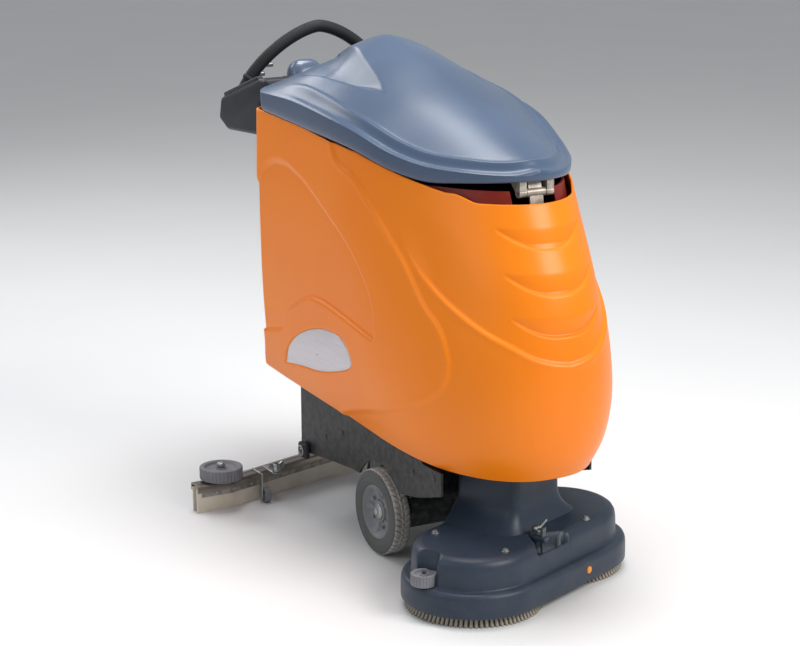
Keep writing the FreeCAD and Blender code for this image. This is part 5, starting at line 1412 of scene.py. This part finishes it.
def buildDisplay():
    # a low domed cover over the display
    low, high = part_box("display_cover")
    wide, deep, tall = 0.094, 0.066, 0.050
    across = (low.x + high.x) / 2
    rows = []
    for climb in np.linspace(0, math.pi / 2, 24):
        reach = max(math.cos(climb), 1e-3) ** 0.62
        lift = tall * math.sin(climb) ** 0.85
        for k in range(64):
            turn = 2 * math.pi * k / 64
            c, s = math.cos(turn), math.sin(turn)
            x = wide / 2 * math.copysign(abs(c) ** 0.72, c) * reach
            y = deep / 2 * math.copysign(abs(s) ** 0.72, s) * reach
            rows.append(onPanel(across, 0.185) + panelTurn @ Vector((x, y, lift)))
    faces = gridFaces(len(rows) // 64, 64, wrap=True)
    addMesh("displayCover", [(rows, faces)], finish["cover"], "tank", ["display_cover"],
            sharp=50)


def buildControls():
    # a scalloped speed knob with a pointer ridge
    verts, sides = [], 96
    outline = [(0.0205, 0.0005), (0.0205, 0.004), (0.0190, 0.005), (0.0182, 0.018), (0.0170, 0.0198),
               (0.0150, 0.0205), (0.0, 0.0205)]
    place = onPanel(0.040, 0.150)
    for r, h in outline:
        for k in range(sides):
            turn = 2 * math.pi * k / sides
            flute = 0.0010 * (1 + math.cos(12 * turn)) / 2 if 0.0045 < h < 0.019 else 0.0
            verts.append(place + panelTurn @ Vector(((r - flute) * math.cos(turn),
                                                     (r - flute) * math.sin(turn), h)))
    parts = [(verts, gridFaces(len(outline), sides, wrap=True)),
             roundBox((0.005, 0.034, 0.006), place + panelTurn @ Vector((0, 0, 0.0212)), 0.0015, panelTurn)]
    addMesh("speedKnob", parts, finish["consoleBlack"], "speed_knob", ["speed_knob"],
            sharp=40)

    place = onPanel(0.120, 0.150)
    collar = [(0.0118, 0.0005), (0.0118, 0.006), (0.0106, 0.008), (0.0070, 0.0083), (0.0066, 0.0074),
              (0.0, 0.0074)]
    normal = panelTurn @ Vector((0, 0, 1))
    parts = [turnedMesh(collar, place, normal, 40),
             roundBox((0.0036, 0.020, 0.020), place + panelTurn @ Vector((0, 0, 0.0185)), 0.0016, panelTurn)]
    addMesh("keySwitch", parts, finish["zincBright"], "key_switch", ["key_switch"], sharp=40)

    for name, node, x, material, slot in (("startButton", "button_start", 0.020, "buttonGreen",
                                           "control_green"), ("waterButton", "button_water", 0.075,
                                                              "buttonOrange", "control_orange")):
        dome = [(0.0, 0.0066), (0.0060, 0.0064), (0.0105, 0.0056), (0.0126, 0.0042), (0.0130, 0.0026),
                (0.0130, -0.0058)]
        addMesh(name, [turnedMesh(dome, onPanel(x, 0.085), normal, 40)], finish[material], node, [node],
                sharp=50)

    y, z = consoleForm["leverPivot"]
    x = consoleForm["leverX"]
    grip = [(0.0, 0.0), (0.0075, 0.0), (0.0092, 0.002), (0.0100, 0.012), (0.0112, 0.030), (0.0104, 0.048),
            (0.0090, 0.055), (0.0060, 0.058), (0.0, 0.0585)]
    eye = mirrored([(0.0041, -0.006), (0.0128, -0.006), (0.0140, -0.0048)])
    parts = [turnedMesh(grip, (x, y + 0.070, z - 0.004), (0, 1, 0), 32),
             turnedMesh(eye, (x, y, z), (1, 0, 0), 40), roundBox((0.011, 0.066, 0.010),
                                                                 (x, y + 0.043, z - 0.004), 0.0025)]
    addMesh("squeegeeLever", parts, finish["gripRubber"], "squeegee_lever",
            ["squeegee_lever"], sharp=40)


buildConsole()
buildHoop()
buildDisplay()
buildControls()
print("console and handle built")


# ---- lid hinge, latches and screws ----

hingeForm = {"pivotY": -0.492, "plateY": -0.5035, "screwLevels": (0.893, 0.868)}
screwForm = {
    "spots": [(0.250, 0.320), (0.060, 0.250), (-0.020, 0.320), (0.150, 0.215), (-0.300, 0.250),
              (-0.400, 0.262)],
    "plateX": 0.205, "axle": (0.252, 0.153),
}


def buildHinge():
    # a bent strap, its eye and two screws
    pivot = Vector((0, hingeForm["pivotY"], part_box("lid_hinge_base")[1].z - 0.010))
    strap = []
    line = [(-0.4885, 0.955), (-0.492, 0.940), (-0.4985, 0.926), (-0.5020, 0.905), (-0.5035, 0.880),
            (-0.5060, 0.850)]
    for y, z in line:
        strap += [(-0.017, y, z), (0.017, y, z), (0.017, y + 0.005, z), (-0.017, y + 0.005, z)]
    faces = gridFaces(len(line), 4, wrap=True, flip=True) + [(0, 3, 2, 1), (20, 21, 22, 23)]
    parts = [(strap, faces)]
    eye = mirrored([(0.0, -0.0255), (0.0085, -0.0255), (0.0100, -0.024)])
    parts.append(turnedMesh(eye, pivot, (1, 0, 0), 36))
    for z in hingeForm["screwLevels"]:
        parts.append(turnedMesh([(0.0, 0.0032), (0.0032, 0.0030), (0.0046, 0.0018), (0.0048, -0.001)],
                                (0, hingeForm["plateY"], z), (0, -1, 0), 20))
    addMesh("lidHingeBase", parts, finish["strapGrey"], "tank", ["lid_hinge_base"], sharp=38)


def buildLatches():
    # a moulded latch body with a steel ring pull on each side
    for hand, side in hands.items():
        low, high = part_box("latch_" + hand)
        centre = (low + high) / 2
        face = low.x if side < 0 else high.x
        body = roundBox((0.0155, 0.043, 0.039), (face - side * 0.0112, centre.y, centre.z), 0.006, segments=4)
        ring = []
        steps, sides = 48, 10
        for k in range(steps):
            turn = 2 * math.pi * k / steps
            for j in range(sides):
                tip = 2 * math.pi * j / sides
                r = 0.0124 + 0.0019 * math.cos(tip)
                ring.append((face - side * 0.0018 + side * 0.0017 * math.sin(tip),
                             centre.y + r * math.cos(turn), centre.z + r * math.sin(turn)))
        wrapped = gridFaces(steps, sides, wrap=True, flip=side > 0)
        wrapped += [((steps - 1) * sides + j, (steps - 1) * sides + (j + 1) % sides, (j + 1) % sides, j)
                    for j in range(sides)]
        addMesh("latch" + hand.title(), [body], finish["casterDark"], "latch_" + hand,
                ["latch_" + hand], sharp=40)
        tab = roundBox((0.0032, 0.006, 0.016), (face - side * 0.0020, centre.y, centre.z), 0.0012)
        addMesh("latchRing" + hand.title(), [(ring, wrapped), tab], finish["zincBright"], "latch_" + hand,
                sharp=40)


def buildScrews():
    # dark button heads where the side plates are fixed
    plateX = screwForm["plateX"]
    head = [(0.0, 0.0016), (0.0022, 0.0016), (0.0027, 0.0036), (0.0048, 0.0034), (0.0064, 0.0022),
            (0.0070, 0.0008), (0.0070, -0.001)]
    parts = []
    for side in (-1, 1):
        parts += [turnedMesh(head, (side * plateX, y, z), (side, 0, 0), 20) for y, z in screwForm["spots"]]
        parts.append(turnedMesh([(0.0, 0.0215), (0.0040, 0.0212), (0.0050, 0.0200), (0.0050, -0.001)],
                                (side * plateX, *screwForm["axle"]), (side, 0, 0), 24))
    addMesh("chassisScrews", parts, finish["castingGrey"], "chassis", ["chassis_screws"], sharp=38)


buildHinge()
buildLatches()
buildScrews()
print("hinge, latches and screws built")


# ---- finishes of the pieces that stay as they were drawn ----

keptFinish = {
    "chassis_frame": "chassisPaint", "battery_pack": "batteryBlack", "traction_drive": "castingGrey",
    "caster_plate": "chassisPaint", "guide_rods": "zincBright", "lift_actuator": "castingGrey",
    "squeegee_bracket": "chassisPaint", "caster_fork": "zincBright", "lift_rod": "zincBright",
    "lever_mount": "castingGrey", "brush_motors": "castingGrey", "brush_disc_right": "discGrey",
    "brush_disc_left": "discGrey", "recovery_tank": "recoveryRedPaintedShade", "suction_motor": "batteryBlack",
    "lid_hinge_leaf": "strapGrey",
}
for node, name in keptFinish.items():
    for slot in nodes[node].material_slots:
        slot.material = finish[name]
print("kept pieces finished")


# ---- stage, light and camera ----

stageForm = {"reach": 30.0, "rings": 24, "tint": srgb(226, 227, 228)}


def buildStage():
    # a wide plain floor
    verts = [(0, 0, 0)]
    spokes = 96
    for ring in range(1, stageForm["rings"] + 1):
        r = stageForm["reach"] * (ring / stageForm["rings"]) ** 2
        verts += [(r * math.cos(2 * math.pi * k / spokes), r * math.sin(2 * math.pi * k / spokes), 0)
                  for k in range(spokes)]
    faces = [(0, 1 + k, 1 + (k + 1) % spokes) for k in range(spokes)]
    for ring in range(stageForm["rings"] - 1):
        a = 1 + ring * spokes
        faces += [(a + k, a + spokes + k, a + spokes + (k + 1) % spokes, a + (k + 1) % spokes)
                  for k in range(spokes)]
    mesh = bpy.data.meshes.new("floor")
    mesh.from_pydata(verts, [], faces)
    floor = bpy.data.objects.new("floor", mesh)
    bpy.context.scene.collection.objects.link(floor)
    material, tree, surface = startMaterial("floorPale")
    clouds = noiseNode(tree, objectPlace(tree), 1.5, detail=4.0)
    tone = mixNode(tree, clouds, stageForm["tint"], srgb(220, 221, 223))
    tree.links.new(tone, surface.inputs["Base Color"])
    surface.inputs["Roughness"].default_value = 0.55
    mesh.materials.append(material)


lampPlan = {
    # name: (place, aim, width, height, watts, tint)
    "keyLamp": ((1.6, -3.6, 3.4), (0.0, -0.2, 0.5), 2.6, 2.0, 165, (1.0, 0.98, 0.94)),
    "sideLamp": ((-4.2, -0.6, 2.6), (0.0, 0.0, 0.6), 2.4, 2.4, 26, (0.95, 0.98, 1.0)),
    "backLamp": ((-1.2, 3.8, 3.2), (0.0, 0.1, 0.7), 3.0, 1.6, 60, (1.0, 1.0, 1.0)),
    "topLamp": ((0.3, 0.35, 4.3), (0.0, 0.0, 0.6), 2.0, 2.0, 125, (1.0, 1.0, 1.0)),
}


def buildLamps():
    for name, (place, aim, width, height, watts, tint) in lampPlan.items():
        light = bpy.data.lights.new(name, "AREA")
        light.shape = "RECTANGLE"
        light.size, light.size_y = width, height
        light.energy = watts
        light.color = tint
        lamp = bpy.data.objects.new(name, light)
        bpy.context.scene.collection.objects.link(lamp)
        lamp.location = place
        lamp.rotation_euler = (Vector(aim) - Vector(place)).to_track_quat("-Z", "Y").to_euler()
    world = bpy.data.worlds.new("paleStudio")
    bpy.context.scene.world = world
    world.use_nodes = True
    back = world.node_tree.nodes["Background"]
    back.inputs["Color"].default_value = (0.86, 0.88, 0.90, 1)
    back.inputs["Strength"].default_value = 0.44


cameraPlan = {"place": (-2.566, -4.558, 1.861), "turn": 28.68, "dip": 14.42, "roll": -0.22, "lens": 99.06}


def buildCamera():
    lens = bpy.data.cameras.new("mainCamera")
    lens.lens = cameraPlan["lens"]
    lens.sensor_width = 36
    lens.clip_end = 60
    eye = bpy.data.objects.new("mainCamera", lens)
    bpy.context.scene.collection.objects.link(eye)
    aim = Matrix.Rotation(math.radians(-cameraPlan["turn"]), 4,
                          "Z") @ Matrix.Rotation(math.radians(90 - cameraPlan["dip"]), 4,
                                                 "X") @ Matrix.Rotation(math.radians(cameraPlan["roll"]), 4,
                                                                        "Z")
    eye.matrix_world = Matrix.Translation(cameraPlan["place"]) @ aim
    bpy.context.scene.camera = eye
    bpy.context.scene.view_settings.view_transform = "Standard"


buildStage()
buildLamps()
buildCamera()
print("stage, lamps and camera set")

bpy.context.view_layer.update()
